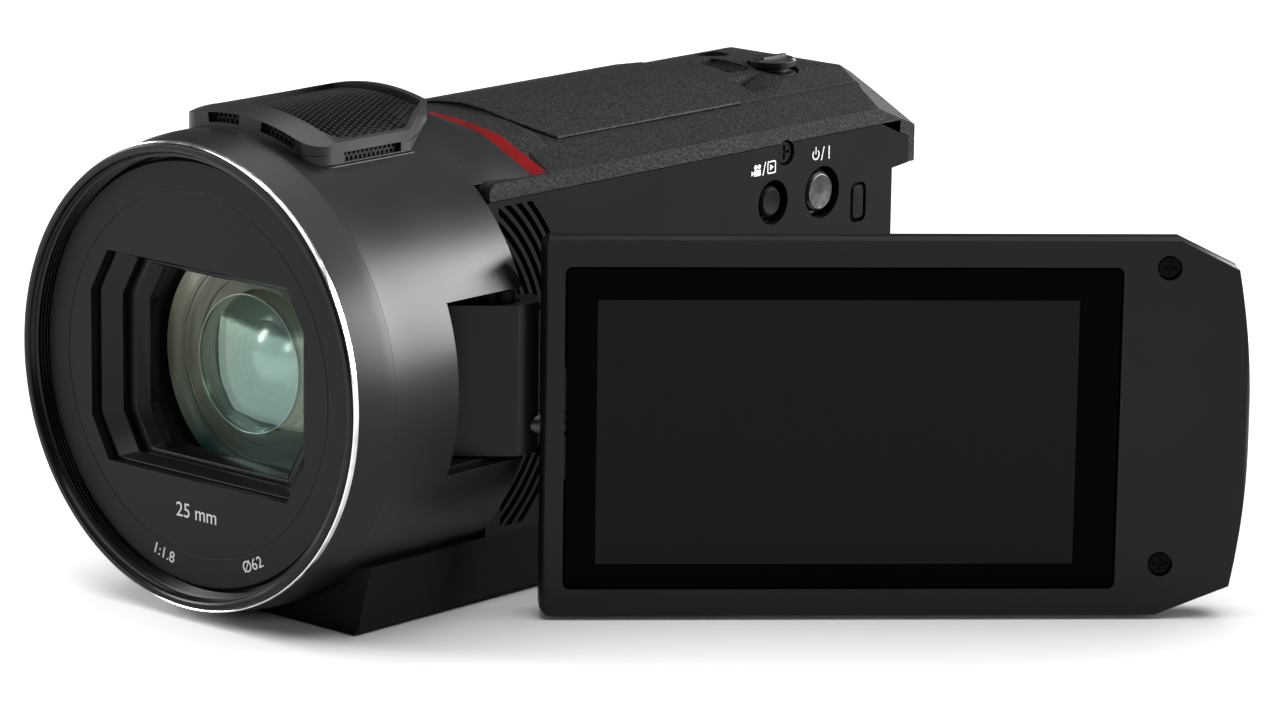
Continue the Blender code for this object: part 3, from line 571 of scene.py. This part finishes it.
def hole_rows(outline, pitch, row, radius, corners=6, margin=0.5, turn=0.0):
    """Holes on a slanted grid, as many as the outline holds."""
    xs, ys = [p[0] for p in outline], [p[1] for p in outline]
    reach_out = 60
    holes = []
    for j in range(int((max(ys) - min(ys)) / row) + 1):
        y = min(ys) + margin + j * row
        for i in range(-reach_out, reach_out):
            x = 0.5 * (min(xs) + max(xs)) + (i + 0.5 * (j % 2)) * pitch
            reach = [(x + dx, y + dy) for dx in (-margin, margin) for dy in (-margin, margin)]
            if all(inside_of(p, outline) for p in reach):
                holes.append((x, y, radius, corners, turn))
    return holes


def mic():
    """The housing on the barrel's roof, its pierced lid, and the meshes behind its slots."""
    def across_roof(r, low, high, steps=16):
        """Points on an arc round the lens axis, from one angle to the other."""
        return arc(0, AXIS_Z, r, low, high, steps)

    def shell(r_in, r_out, low, high, start, end):
        """A piece of a tube round the lens axis."""
        return prism(across_roof(r_out, low, high) + across_roof(r_in, high, low), "Y", start, end)

    body = prism(across_roof(MIC_ROOF_R, 140, 40, 60) + [(20.0, 60.0), (-20.0, 60.0)], "Y", 8.0, 40.0)
    body = keep(body, prism(mic_plan(), "Z", 50, 80))
    front_slope = [(36.31, 14.2), (36.2, 13.2), (35.62, 9.6), (35.4, 9.0), (45.0, 9.0), (45.0, 14.2)]
    lid_well = mic_plan(14.7, 10.6, 13.9, 27.9, 36.6, 9.1, 3.2)
    body = cut(body, disc(BARREL_R + 0.02, 0, 60, "Y", LENS, FINE), turned(front_slope, "Y", LENS),
               prism(lid_well, "Z", 60, 80),
               *[shell(34.05, 35.45, *span, 5.0, 14.6) for span in MIC_SLOTS.values()])
    outside = mic_plan(15.8, 11.7, 9.0, 28.4, 38.3, 9.5, 4.1)
    inside = mic_plan(15.1, 11.0, 9.7, 28.1, 37.6, 9.1, 3.4)
    split = cut(prism(outside, "Z", 65.55, 65.68), prism(inside, "Z", 65, 66))
    lip = cut(prism(outside, "Z", 63.9, 64.18), prism(inside, "Z", 63, 65))
    body = cut(body, split, lip, box(12.6, 16.5, 15.4, 26.4, 64.35, 65.6))
    body = cut(body, prism([(13.4, 30.4), (11.6, 33.2), (9.6, 31.9), (11.4, 29.1)], "Z", 66.0, 67.2))
    piece("mic_body", body, RIM, stands_for=["mic_housing"], bevel=0.22, segments=3, angle=34)
    foot = prism(across_roof(34.3, 118, 60, 30) + across_roof(33.52, 60, 118, 30), "Y", 9.0, 36.0)
    foot = keep(foot, prism(mic_plan(15.75, 11.4, 9.35, 28.5, 37.9, 9.4, 3.9), "Z", 50, 64.05))
    piece("mic_foot", foot, RIM, bevel=0.08)

    pattern = hole_rows(mic_plan(14.5, 10.3, 14.2, 27.6, 36.2, 8.9, 3.0), 0.9, 0.92, 0.27, 8, 0.32)
    lid = pierced(mic_plan(14.66, 10.5, 13.95, 27.8, 36.55, 9.05, 3.1), pattern, 0.5)
    for v in lid.vertices:
        x = v.co.x / MM
        v.co.z += MM * (AXIS_Z + math.sqrt(35.3 ** 2 - x * x))
    piece("mic_lid", lid, LID, stands_for=["mic_grille"], bevel=0)

    def slot_mesh(length, width, radius, margin):
        blank = rounded(0, 0, length, width, 0.1, 1)
        return pierced(blank, hole_rows(blank, 0.86, 0.74, radius, 6, margin, turn=30), 0.3)

    for name, (low, high) in MIC_SLOTS.items():
        start, end = math.radians(low), math.radians(high)
        mesh = slot_mesh(MIC_MESH_R * (end - start), 1.6, 0.29, 0.3)
        for v in mesh.vertices:
            turn = 0.5 * (start + end) - v.co.x / MM / MIC_MESH_R
            r = MIC_MESH_R + v.co.y / MM + ORIGIN_BACK
            v.co = spot(r * math.cos(turn), 10.5 + v.co.z / MM, AXIS_Z + r * math.sin(turn))
        piece("mic_mesh_" + name, mesh, LID, bevel=0)
        piece("mic_back_" + name, shell(33.6, 35.6, low - 1, high + 1, 11.4, 11.8), DEEP, bevel=0)
    side = slot_mesh(11.6, 1.4, 0.29, 0.26)
    for v in side.vertices:
        v.co = spot(14.4 + v.co.z / MM, 20.9 + v.co.x / MM, 64.98 + v.co.y / MM + ORIGIN_BACK)
    piece("mic_mesh_side", side, LID, bevel=0)
    piece("mic_back_side", box(13.0, 13.4, 15.0, 26.8, 64.3, 65.7), DEEP, bevel=0.05)


# ---------------------------------------------------------------- body covers

TOP_HALF = [(SIDE_X, SEAM_Z + 0.06), (24.15, LEDGE_Z), (16.4, 61.95), (9.9, 64.0), (5.0, 64.95)]
TOP_OUTLINE = TOP_HALF + [(0, TOP_Z)] + [(-x, z) for x, z in TOP_HALF[::-1]]


def ridge(raise_by):
    """The crown of the top cover between its two shoulders, lifted by the given distance."""
    half = [(16.2, 61.95), (9.9, 64.0), (5.0, 64.95), (0, TOP_Z)]
    return [(x, z + raise_by) for x, z in half + [(-x, z) for x, z in half[2::-1]]]


def rear_corner(side):
    """A block whose flat underside cuts a rear corner off the top cover."""
    a, b, c = Vector((15.8, 123.5, 62.1)), Vector((24.2, 119.0, 59.65)), Vector((24.2, 126.6, 56.5))
    out = (b - a).cross(c - a).normalized()
    if out.z < 0:
        out = -out
    along_it = (b - a).normalized()
    turn = Matrix((along_it, out.cross(along_it), out)).transposed().to_4x4()
    centre = (a + b + c) / 3 + out * 6
    place = Matrix.Translation(spot(*centre)) @ turn @ Matrix.Diagonal((40, 40, 12, 1))
    work = bmesh.new()
    bmesh.ops.create_cube(work, size=MM, matrix=place)
    if side < 0:
        bmesh.ops.scale(work, verts=work.verts, vec=(-1, 1, 1))
    return closed(work)


def top():
    """The grained top cover with its raised panel, wells, recess and speaker plate."""
    cover = fuse(prism(TOP_OUTLINE, "Y", TONGUE_Y, OVERHANG_Y),
                 box(-24.0, 24.0, 124.4, OVERHANG_Y, OVERHANG_Z, 59.0))
    profile = ([(TONGUE_Y, SEAM_Z + 0.06)] + arc(TONGUE_Y + 1.4, LEDGE_Z - 1.4, 1.4, 180, 90, 6)
               + [(RAKE_Y, LEDGE_Z), (54.3, 65.0), (54.3, 70.0), (93.0, 66.0), (110.0, 65.2),
                  (120.0, 64.6), (126.0, 63.7), (127.3, 62.6), (OVERHANG_Y, 60.5), (OVERHANG_Y, OVERHANG_Z),
                  (126.4, OVERHANG_Z), (126.25, 54.5), (119.95, 57.26)])
    cover = keep(cover, prism(profile, "X", -30, 30))
    cover = cut(cover, rear_corner(1), rear_corner(-1))

    room = prism([(22.6, 50.0), (22.5, 58.2), (16.2, 60.3), (9.5, 62.4), (5.0, 63.3), (0, 63.7),
                  (-5.0, 63.3), (-9.5, 62.4), (-16.2, 60.3), (-22.5, 58.2), (-22.6, 50.0)],
                 "Y", BAND_Y - 4, 125.9)
    hollow = [(RAKE_Y + 0.8, 49.0), (RAKE_Y + 0.8, 66.0), (93.0, 64.4), (110.0, 63.6), (116.0, 62.6),
              (119.0, 60.6), (123.5, 57.6), (125.9, 54.0), (125.9, 49.0)]
    cover = cut(cover, keep(room, prism(hollow, "X", -30, 30)),
                disc(32.0, TONGUE_Y - 1, RAKE_Y + 1, "Y", LENS, FINE))
    filler = [(7.8, 61.0), (14.2, 61.0), (14.2, 62.5), (9.9, 63.8), (7.8, 64.2)]
    cover = fuse(cover, prism(arch(32.6, 65.0, 58.4), "Y", BAND_Y + 0.3, 53.8),
                 prism(filler, "Y", 101.6, 110.2))

    channel = [(15.55, 61.95), (16.9, 61.5), (16.9, 64.0), (15.55, 64.0)]
    grooves = [prism([(side * x, z) for x, z in channel], "Y", 98.4, 124.0) for side in (1, -1)]
    recess = [(102.4, 67.0), (102.4, 62.2), (103.0, 62.0), (110.0, 64.2), (110.0, 67.0)]
    cover = cut(cover, disc(3.9, 55, 70, "Z", LEVER_AT), disc(3.0, 55, 70, "Z", PHOTO_AT),
                prism(recess, "X", 8.6, 13.4), prism(rounded(*SPEAKER_AT, 7.6, 5.2, 1.0), "Z", 55, 70),
                disc(1.9, 20, 30, "X", SCREW_AT, 48), *grooves)
    piece("top_shell", cover, GRAIN, stands_for=["top_cover"], bevel=0.22, angle=14)

    panel = prism(ridge(0.5) + ridge(0.02)[::-1], "Y", 54.1, 98.6)
    plan = [(-20, 57.2), (-16.2, 57.2), (-9.9, 54.1), (9.9, 54.1), (16.2, 57.2), (20, 57.2), (20, 96.4),
            (16.2, 96.9), (9.9, 98.6), (-9.9, 98.6), (-16.2, 96.9), (-20, 96.4)]
    panel = keep(panel, prism(plan, "Z", 55, 75))
    piece("top_plate", panel, GRAIN, stands_for=["top_panel"], bevel=0.22, angle=14)

    outline = rounded(*SPEAKER_AT, 7.0, 4.6, 0.8)
    grille = pierced(outline, hole_rows(outline, 0.86, 0.8, 0.22, 8, 0.42), 1.0)
    for v in grille.vertices:
        v.co.z += MM * 64.25
    piece("speaker_plate", grille, MATTE, stands_for=["speaker_grille"], bevel=0)


def base():
    """The foot: sides that lean in, a rounded front, and a hollow for the barrel."""
    front, top_z = 10.0, BASE_Z + 0.2
    outline = [(-22.0, 0), (22.4, 0), (23.0, 0.8), (24.15, top_z), (-23.6, top_z), (-22.8, 0.8)]
    plan = rounded(0.2, 0.5 * (front + REAR_Y), 48.2, REAR_Y - front, 3.0, 12)
    foot = keep(prism(outline, "Y", front, REAR_Y), prism(plan, "Z", -1, 20))
    foot = cut(foot, box(-21.0, 21.0, 46.0, REAR_Y - 1.6, 1.8, 20),
               disc(BARREL_R - 0.05, 0, 45.7, "Y", LENS, FINE), disc(4.2, -1, 5, "Z", (0, 70.0)),
               box(-9.5, 9.5, 86.0, 112.0, -1, 5), box(-5.4, 5.4, 119.0, 130, 2.7, 6.8))
    piece("foot", foot, MATTE, stands_for=["base_cover"], bevel=0.25, angle=20)


def left_side():
    """The side cover, with wells for its keys and two fans of curved vents."""
    outline = [(34.4, 57.14), (119.9, 57.14), (126.2, 54.38), (126.2, OVERHANG_Z),
               (REAR_Y, OVERHANG_Z - 0.4), (REAR_Y, BASE_Z + 0.3), (34.4, BASE_Z + 0.3)]
    cover = prism(outline, "X", SIDE_X - 1.6, SIDE_X)
    holes = [box(10, 40, 30, 38.4, 22.5, 46.6), disc(3.9, 20, 30, "X", POWER),
             disc(3.3, 20, 30, "X", MODE), prism(rounded(*LEVEL, 3.6, 6.0, 1.2), "X", 20, 30),
             disc(1.9, 20, 30, "X", SCREW_AT, 48)]
    above = box(20, 30, 36.6, 60, 40, 56.3)
    below = box(20, 30, 37.4, 60, 10.6, 26)
    vents, first_r, pitch, width, vent_y = 7, 22.3, 1.5, 0.85, 20.0
    for k in range(vents):
        r = first_r + pitch * k
        for low, high, room in ((14, 70, above), (-70, -14, below)):
            line = arc(vent_y, AXIS_Z, r, low, high, 30) + arc(vent_y, AXIS_Z, r + width, high, low, 30)
            holes.append(keep(prism(line, "X", 20, 30), room.copy()))
    piece("side_cover", cut(cover, *holes), MATTE, stands_for=["left_cover"], bevel=0.2)


def marks():
    """Thin generic signs beside the controls."""
    low, high = (SIDE_X + d for d in SIGN_DEPTH)

    def sign(name, *outlines):
        meshes = [prism(line, "X", low, high) for line in outlines]
        piece(name, fuse(*meshes) if len(meshes) > 1 else meshes[0], MARK, bevel=0)

    def slash(y, z):
        return [(y - 0.35, z), (y - 0.15, z), (y + 0.45, z + 2.0), (y + 0.25, z + 2.0)]

    y, z = POWER[0] - 1.6, POWER[1] + 5.8
    hoop = arc(y, z, 0.8, 130, 410, 24) + arc(y, z, 0.6, 410, 130, 24)
    sign("sign_power", hoop, rounded(y, z + 0.6, 0.18, 1.1, 0.08, 2))
    sign("sign_power_bar", slash(y + 1.5, z - 1.0), rounded(y + 3.0, z, 0.2, 2.0, 0.08, 2))
    y, z = MODE[0] - 3.7, MODE[1] + 5.3
    sign("sign_film", rounded(y, z - 0.45, 1.5, 0.9, 0.12, 2),
         *[rounded(y + dy, z + 0.42, 0.7, 0.7, 0.34, 6) for dy in (-0.35, 0.42)])
    nose = [(y - 1.3, z - 0.8), (y - 0.8, z - 0.55), (y - 0.8, z - 0.3), (y - 1.3, z - 0.05)]
    sign("sign_film_nose", nose)
    sign("sign_film_bar", slash(y + 1.5, z - 1.0))
    around = cut(prism(rounded(y + 3.2, z, 1.9, 1.9, 0.3, 4), "X", low, high),
                 prism(rounded(y + 3.2, z, 1.5, 1.5, 0.2, 4), "X", low - 1, high + 1))
    piece("sign_play_frame", around, MARK, bevel=0)
    sign("sign_play", [(y + 2.85, z - 0.45), (y + 3.65, z), (y + 2.85, z + 0.45)])


def numbers():
    """Plain numbers on the front plate: the field in millimetres, the opening and the thread."""
    plate_y, relief = 1.99, 0.03
    for name, text, size, radius, turn in (("number_field", "25 mm", 2.9, 19.6, None),
                                           ("number_opening", "1:1.8", 2.3, 27.2, -14),
                                           ("number_thread", "\u00d862", 2.3, 27.2, 24)):
        curve = bpy.data.curves.new(name, "FONT")
        curve.body, curve.size, curve.extrude = text, size * MM, relief * MM
        curve.align_x, curve.align_y = "CENTER", "CENTER"
        mesh = evaluated(added(bpy.data.objects.new(name, curve)))
        for v in mesh.vertices:
            a, b, c = v.co / MM
            if turn is None:
                v.co = spot(a, plate_y - c, AXIS_Z - radius + b)
            else:
                swing = math.radians(turn) + a / radius
                v.co = spot((radius - b) * math.sin(swing), plate_y - c,
                            AXIS_Z - (radius - b) * math.cos(swing))
        piece(name, mesh, MARK, bevel=0)


# ---------------------------------------------------------------- controls

def controls():
    """Buttons, the slim key, the zoom lever and the cover's screw."""
    def crown(r):
        x = SIDE_X
        return [(0, x - 3.0), (r + 0.5, x - 3.0), (r + 0.5, x - 2.0), (r, x - 2.0), (r, x - 0.7),
                (r - 0.45, x - 0.3), (r - 1.1, x - 0.38), (0, x - 0.5)]

    def button(name, at, profile, look, axis, body, bevel=0.08):
        key = name.replace("_cap", "_button")
        piece(name, turned(profile, axis, at, 96), look, body, [key], bevel)

    button("power_cap", POWER, crown(3.0), DARK_STEEL, "X", "power_key")
    button("mode_cap", MODE, crown(2.3), MATTE, "X", "mode_key")
    foot, face = rounded(*LEVEL, 2.9, 5.3, 0.9), rounded(*LEVEL, 2.3, 4.7, 0.7)
    slim = loft([(foot, SIDE_X - 3.0), (foot, SIDE_X - 0.4), (face, SIDE_X)], "X")
    piece("level_cap", slim, MATTE, "level_key", ["level_button"], 0.1)
    knob = [(0, 61.0), (3.6, 61.0), (3.6, 63.7), (2.5, 64.0), (2.5, 64.4), (3.45, 64.7), (3.5, 65.5),
            (3.1, 65.85), (0, 65.75)]
    handle = fuse(turned(knob, "Z", LEVER_AT, 96),
                  prism(rounded(*LEVER_AT, 0.9, 5.8, 0.4), "Z", 65.4, 66.1))
    piece("zoom_knob", handle, SATIN, "zoom_rocker", ["zoom_lever"], 0.12)
    shutter = [(0, 58.6), (2.7, 58.6), (2.7, 63.2), (2.2, 63.7), (0, 63.8)]
    button("photo_cap", PHOTO_AT, shutter, SATIN, "Z", "photo_key", 0.15)
    dished = [(0, -3.2), (3.9, -3.2), (3.9, 0.5), (3.3, 1.0), (2.6, 0.6), (0, 0.6)]
    button("record_cap", RECORD_AT, [(r, REAR_Y + h) for r, h in dished], RED, "Y", "record_key")
    y, z = SCREW_AT
    head = cut(disc(1.6, SIDE_X - 1.6, SIDE_X - 0.4, "X", SCREW_AT),
               box(23.4, 30, y - 1.1, y + 1.1, z - 0.2, z + 0.2),
               box(23.4, 30, y - 0.2, y + 0.2, z - 1.1, z + 1.1))
    piece("cover_screw", head, MATTE, stands_for=["side_screw"], bevel=0.06)


# ---------------------------------------------------------------- screen

def on_hinge(mesh):
    """Moves a mesh drawn with its origin on the swing axis to its place on the open screen."""
    to_axis = Matrix.Translation((0, ORIGIN_BACK * MM, 0))
    to_place = Matrix.Translation(spot(*SWING, 0)) @ Matrix.Rotation(OPEN_ANGLE, 4, "Z")
    mesh.transform(to_place @ to_axis)
    return mesh


def panel_outline(inset=0.0):
    """The screen from the front, with its bowed outer end."""
    x0, x1, z0, z1 = 4.8 + inset, 103.1 - inset, 0.5 + inset, 53.7 - inset
    bow = 118.0
    nose = arc(x1 - bow, TILT_Z, bow, -11.0, 11.0, 24)
    return ([(x0 + 1.0, z1), (x0, z1 - 1.0), (x0, z0 + 1.0), (x0 + 1.0, z0), (x1 - 12.4, z0)] + nose
            + [(x1 - 10.4, z1)])


def screen():
    """The hinge lug, and the screen with its bezel, back, pane, image and screws."""
    lug = [(1.6, -3.7), (4.5, -1.2), (4.5, 3.4), (3.6, 4.0), (-9.8, 4.0), (-12.2, 2.4), (-12.9, 0),
           (-12.2, -2.4), (-10.4, -3.7)]
    block = cut(prism(lug, "Z", 23.3, 44.5), disc(1.9, 10, 60, "Z"),
                disc(2.3, -1.6, 6, "X", (0.2, TILT_Z)))
    piece("hinge_lug", on_hinge(block), SATIN, "screen_arm", ["hinge_block"], 0.4, 3)

    window_x, screw_x, screw_z = 46.45, 91.2, {"lower": 7.8, "upper": 49.9}
    section = ([(4.8, -0.6)] + arc(6.2, -2.3, 1.4, 180, 270, 12) + arc(102.2, -2.8, 0.9, 270, 360, 8)
               + [(103.1, -0.6)])
    front = keep(prism(panel_outline(), "Y", -3.7, -0.6), prism(section, "Z", 0, 54))
    front = cut(front, prism(rounded(window_x, TILT_Z, 76.9, 45.7, 1.0), "Y", -5, 0),
                *[disc(1.75, -5, -2.0, "Y", (screw_x, z)) for z in screw_z.values()],
                disc(2.3, 0, 13, "X", (0.3, TILT_Z)))
    for name, z in (("upper", 51.6), ("lower", 2.4)):
        dash = prism(rounded(46.4, z, 2.4, 0.5, 0.2, 3), "Y", -3.74, -3.68)
        piece("panel_mark_" + name, on_hinge(dash), SATIN, "screen", bevel=0)
    piece("panel_front", on_hinge(front), SATIN, "screen", ["screen_bezel"], 0.25, 3)
    back = cut(loft([(panel_outline(), -0.3), (panel_outline(), 1.2), (panel_outline(2.2), 4.3)], "Y"),
               box(6.8, 88.6, -1.0, 2.1, 4.0, 50.4), disc(2.3, 0, 13, "X", (0.3, TILT_Z)))
    piece("panel_back", on_hinge(back), MATTE, "screen", ["screen_back"], 0.3, 3)
    pane = prism(rounded(window_x, TILT_Z, 76.3, 45.1, 0.7), "Y", -3.6, -2.6)
    piece("panel_glass", on_hinge(pane), PANE, "screen", ["screen_glass"], 0.12)
    image = prism(rounded(45.7, 26.6, 66.4, 37.4, 0.1, 1), "Y", -3.62, -3.6)
    piece("panel_image", on_hinge(image), ACTIVE, "screen", bevel=0)
    for name, z in screw_z.items():
        head = cut(disc(1.45, -3.3, -2.3, "Y", (screw_x, z)),
                   box(screw_x - 1.0, screw_x + 1.0, -4, -3.0, z - 0.2, z + 0.2),
                   box(screw_x - 0.2, screw_x + 0.2, -4, -3.0, z - 1.0, z + 1.0))
        piece("panel_screw_" + name, on_hinge(head), MATTE, "screen", ["screen_screw_" + name], 0.06)


# ---------------------------------------------------------------- battery and strap

def battery():
    wide, narrow = rounded(-1.2, 23.6, 25.6, 30.6, 3.0), rounded(-1.2, 23.6, 23.4, 28.4, 2.6)
    case = loft([(wide, 122.7), (wide, 136.6), (narrow, 138.6)], "Y")
    piece("battery_case", case, MATTE, "battery", ["battery_pack"], 0.25, 3)


def through(points, t):
    """The point at t, from 0 to 1, on a smooth curve through the given ones."""
    last = len(points) - 1
    s = t * last
    k = min(int(s), last - 1)
    u = s - k
    before, start, end, after = (points[max(0, min(last, k + d))] for d in (-1, 0, 1, 2))
    return Vector([0.5 * (2 * b + (c - a) * u + (2 * a - 5 * b + 4 * c - d) * u * u
                          + (3 * b - a - 3 * c + d) * u ** 3)
                   for a, b, c, d in zip(before, start, end, after)])


def strap():
    """A padded band: two skins that bulge between their sewn edges, following the bow of the hand."""
    bow = [(-28.4, 41.0), (-35.2, 47.0), (-41.2, 60.0), (-43.2, 78.0), (-41.2, 96.0), (-35.2, 109.0),
           (-28.4, 115.0)]
    lengths, around = 72, 28
    stand_off, edge_thick, padding, seam_at, seam_width = 1.6, 0.9, 0.7, 0.8, 0.05
    section = []
    for k in range(around):
        a = 2 * math.pi * k / around
        c, s = math.cos(a), math.sin(a)
        section.append((math.copysign(abs(c) ** 0.45, c), math.copysign(abs(s) ** 0.9, s)))
    work = bmesh.new()
    rings = []
    for i in range(lengths + 1):
        t = i / lengths
        here = through(bow, t)
        ahead = (through(bow, min(1, t + 0.01)) - through(bow, max(0, t - 0.01))).normalized()
        side = Vector((-ahead.y, ahead.x))
        full = min(1.0, 6 * t, 6 * (1 - t)) ** 0.5
        points = []
        for c, s in section:
            sewn = 1.0 - 0.5 * math.exp(-((abs(c) - seam_at) / seam_width) ** 2) * full
            at = here + side * (stand_off + (edge_thick + padding * full) * s * sewn)
            points.append(work.verts.new(spot(at.x, at.y, STRAP_Z + STRAP_HALF * c)))
        rings.append(points)
    band = piece("hand_strap", skinned(work, rings), WEB, "body", ["grip_strap"], 0)
    band.data.shade_smooth()
    band.modifiers.new("soft", "SUBSURF").levels = 1


# ---------------------------------------------------------------- carried-over nodes

def carried_over():
    """CAD nodes whose shape is kept: rounded edges and a finished material."""
    finishes = {
        DEEP: ["lens_tube", "zoom_carrier", "focus_carrier", "iris", "swing_pin"],
        INNER_GLASS: ["zoom_lens", "focus_lens"],
        MATTE: ["grip_cover", "rear_cover", "card_door", "terminal_door", "battery_latch"],
        DARK_STEEL: ["tilt_shaft", "strap_anchor_front", "strap_anchor_rear"],
        STEEL: ["chassis", "card_slot", "zoom_motor", "speaker"],
        BRASS: ["tripod_insert", "battery_terminal"],
        BOARD: ["sensor_board", "main_board", "mic_board"],
        ACTIVE: ["image_sensor", "screen_module"],
    }
    for look, names in finishes.items():
        for name in names:
            node = NODES[name]
            node.data.materials.clear()
            node.data.materials.append(look)
            node.modifiers.new("weld", "WELD").merge_threshold = WELD
            shade(node, 0.12)


# ---------------------------------------------------------------- stage

def camera():
    """The photo's view: turned and raised by these angles, from this place, through a long lens."""
    az, el, roll = (math.radians(a) for a in (41.64, 12.96, 0.79))
    back = Vector((math.sin(az) * math.cos(el), -math.cos(az) * math.cos(el), math.sin(el)))
    right = Vector((math.cos(az), math.sin(az), 0))
    up = back.cross(right)
    x = right * math.cos(roll) + up * math.sin(roll)
    y = up * math.cos(roll) - right * math.sin(roll)
    cam = added(bpy.data.objects.new("camera", bpy.data.cameras.new("camera")))
    cam.data.lens, cam.data.sensor_width = 158.17, 36
    cam.data.clip_start, cam.data.clip_end = 0.05, 20
    cam.matrix_world = Matrix((x, y, back)).transposed().to_4x4()
    cam.location = (0.54439, -0.56871, 0.21005)
    bpy.context.scene.camera = cam


def area(name, place, aim, size, power):
    """A rectangular soft light at a place, turned towards another."""
    light = bpy.data.lights.new(name, "AREA")
    light.shape, light.size, light.size_y = "RECTANGLE", *size
    light.energy = power
    obj = added(bpy.data.objects.new(name, light))
    obj.location = place
    obj.rotation_euler = (Vector(aim) - Vector(place)).to_track_quat("-Z", "Y").to_euler()
    obj.visible_camera = False
    return obj


def stage():
    """Soft light and a pale floor, which the rear softbox leaves out."""
    sky = bpy.data.worlds.new("world")
    sky.use_nodes = True
    sky.node_tree.nodes["Background"].inputs["Color"].default_value = (0.97, 0.98, 1, 1)
    sky.node_tree.nodes["Background"].inputs["Strength"].default_value = 0.12
    bpy.context.scene.world = sky
    bpy.context.scene.view_settings.view_transform = "Standard"
    area("overhead", (0.0, 0.1, 1.5), (0, 0.1, 0), (2.2, 2.2), 43)
    softbox = area("rear_right", (0.82, 0.92, 0.44), (0, -0.02, 0.035), (1.0, 0.7), 62)
    area("front", (0.28, -1.25, 0.42), (0, -0.05, 0.035), (0.22, 0.3), 2.2)
    area("front_left", (-0.9, -0.8, 0.55), (0, -0.04, 0.035), (0.3, 0.5), 8)
    area("left", (-1.3, -0.1, 0.5), (0, 0, 0.035), (0.9, 0.6), 8)
    area("behind", (-0.3, 1.6, 0.4), (0, 0, 0.035), (0.8, 0.5), 7)

    below_feet = 0.0002
    bpy.ops.mesh.primitive_plane_add(size=12, location=(0, 0, -below_feet))
    floor = bpy.context.object
    floor.name = "floor"
    pale = bpy.data.materials.new("pale_floor")
    pale.use_nodes = True
    shader_of(pale).inputs["Base Color"].default_value = (0.92, 0.92, 0.93, 1)
    shader_of(pale).inputs["Roughness"].default_value = 0.9
    shader_of(pale).inputs["Specular IOR Level"].default_value = 0.1
    floor.data.materials.append(pale)
    flagged = bpy.data.collections.new("flagged_off")
    flagged.objects.link(floor)
    flagged.collection_objects[0].light_linking.link_state = "EXCLUDE"
    softbox.light_linking.receiver_collection = flagged


camera()
lens_front()
lens_inside()
barrel()
neck()
mic()
top()
base()
left_side()
marks()
numbers()
controls()
screen()
battery()
strap()
carried_over()
stage()
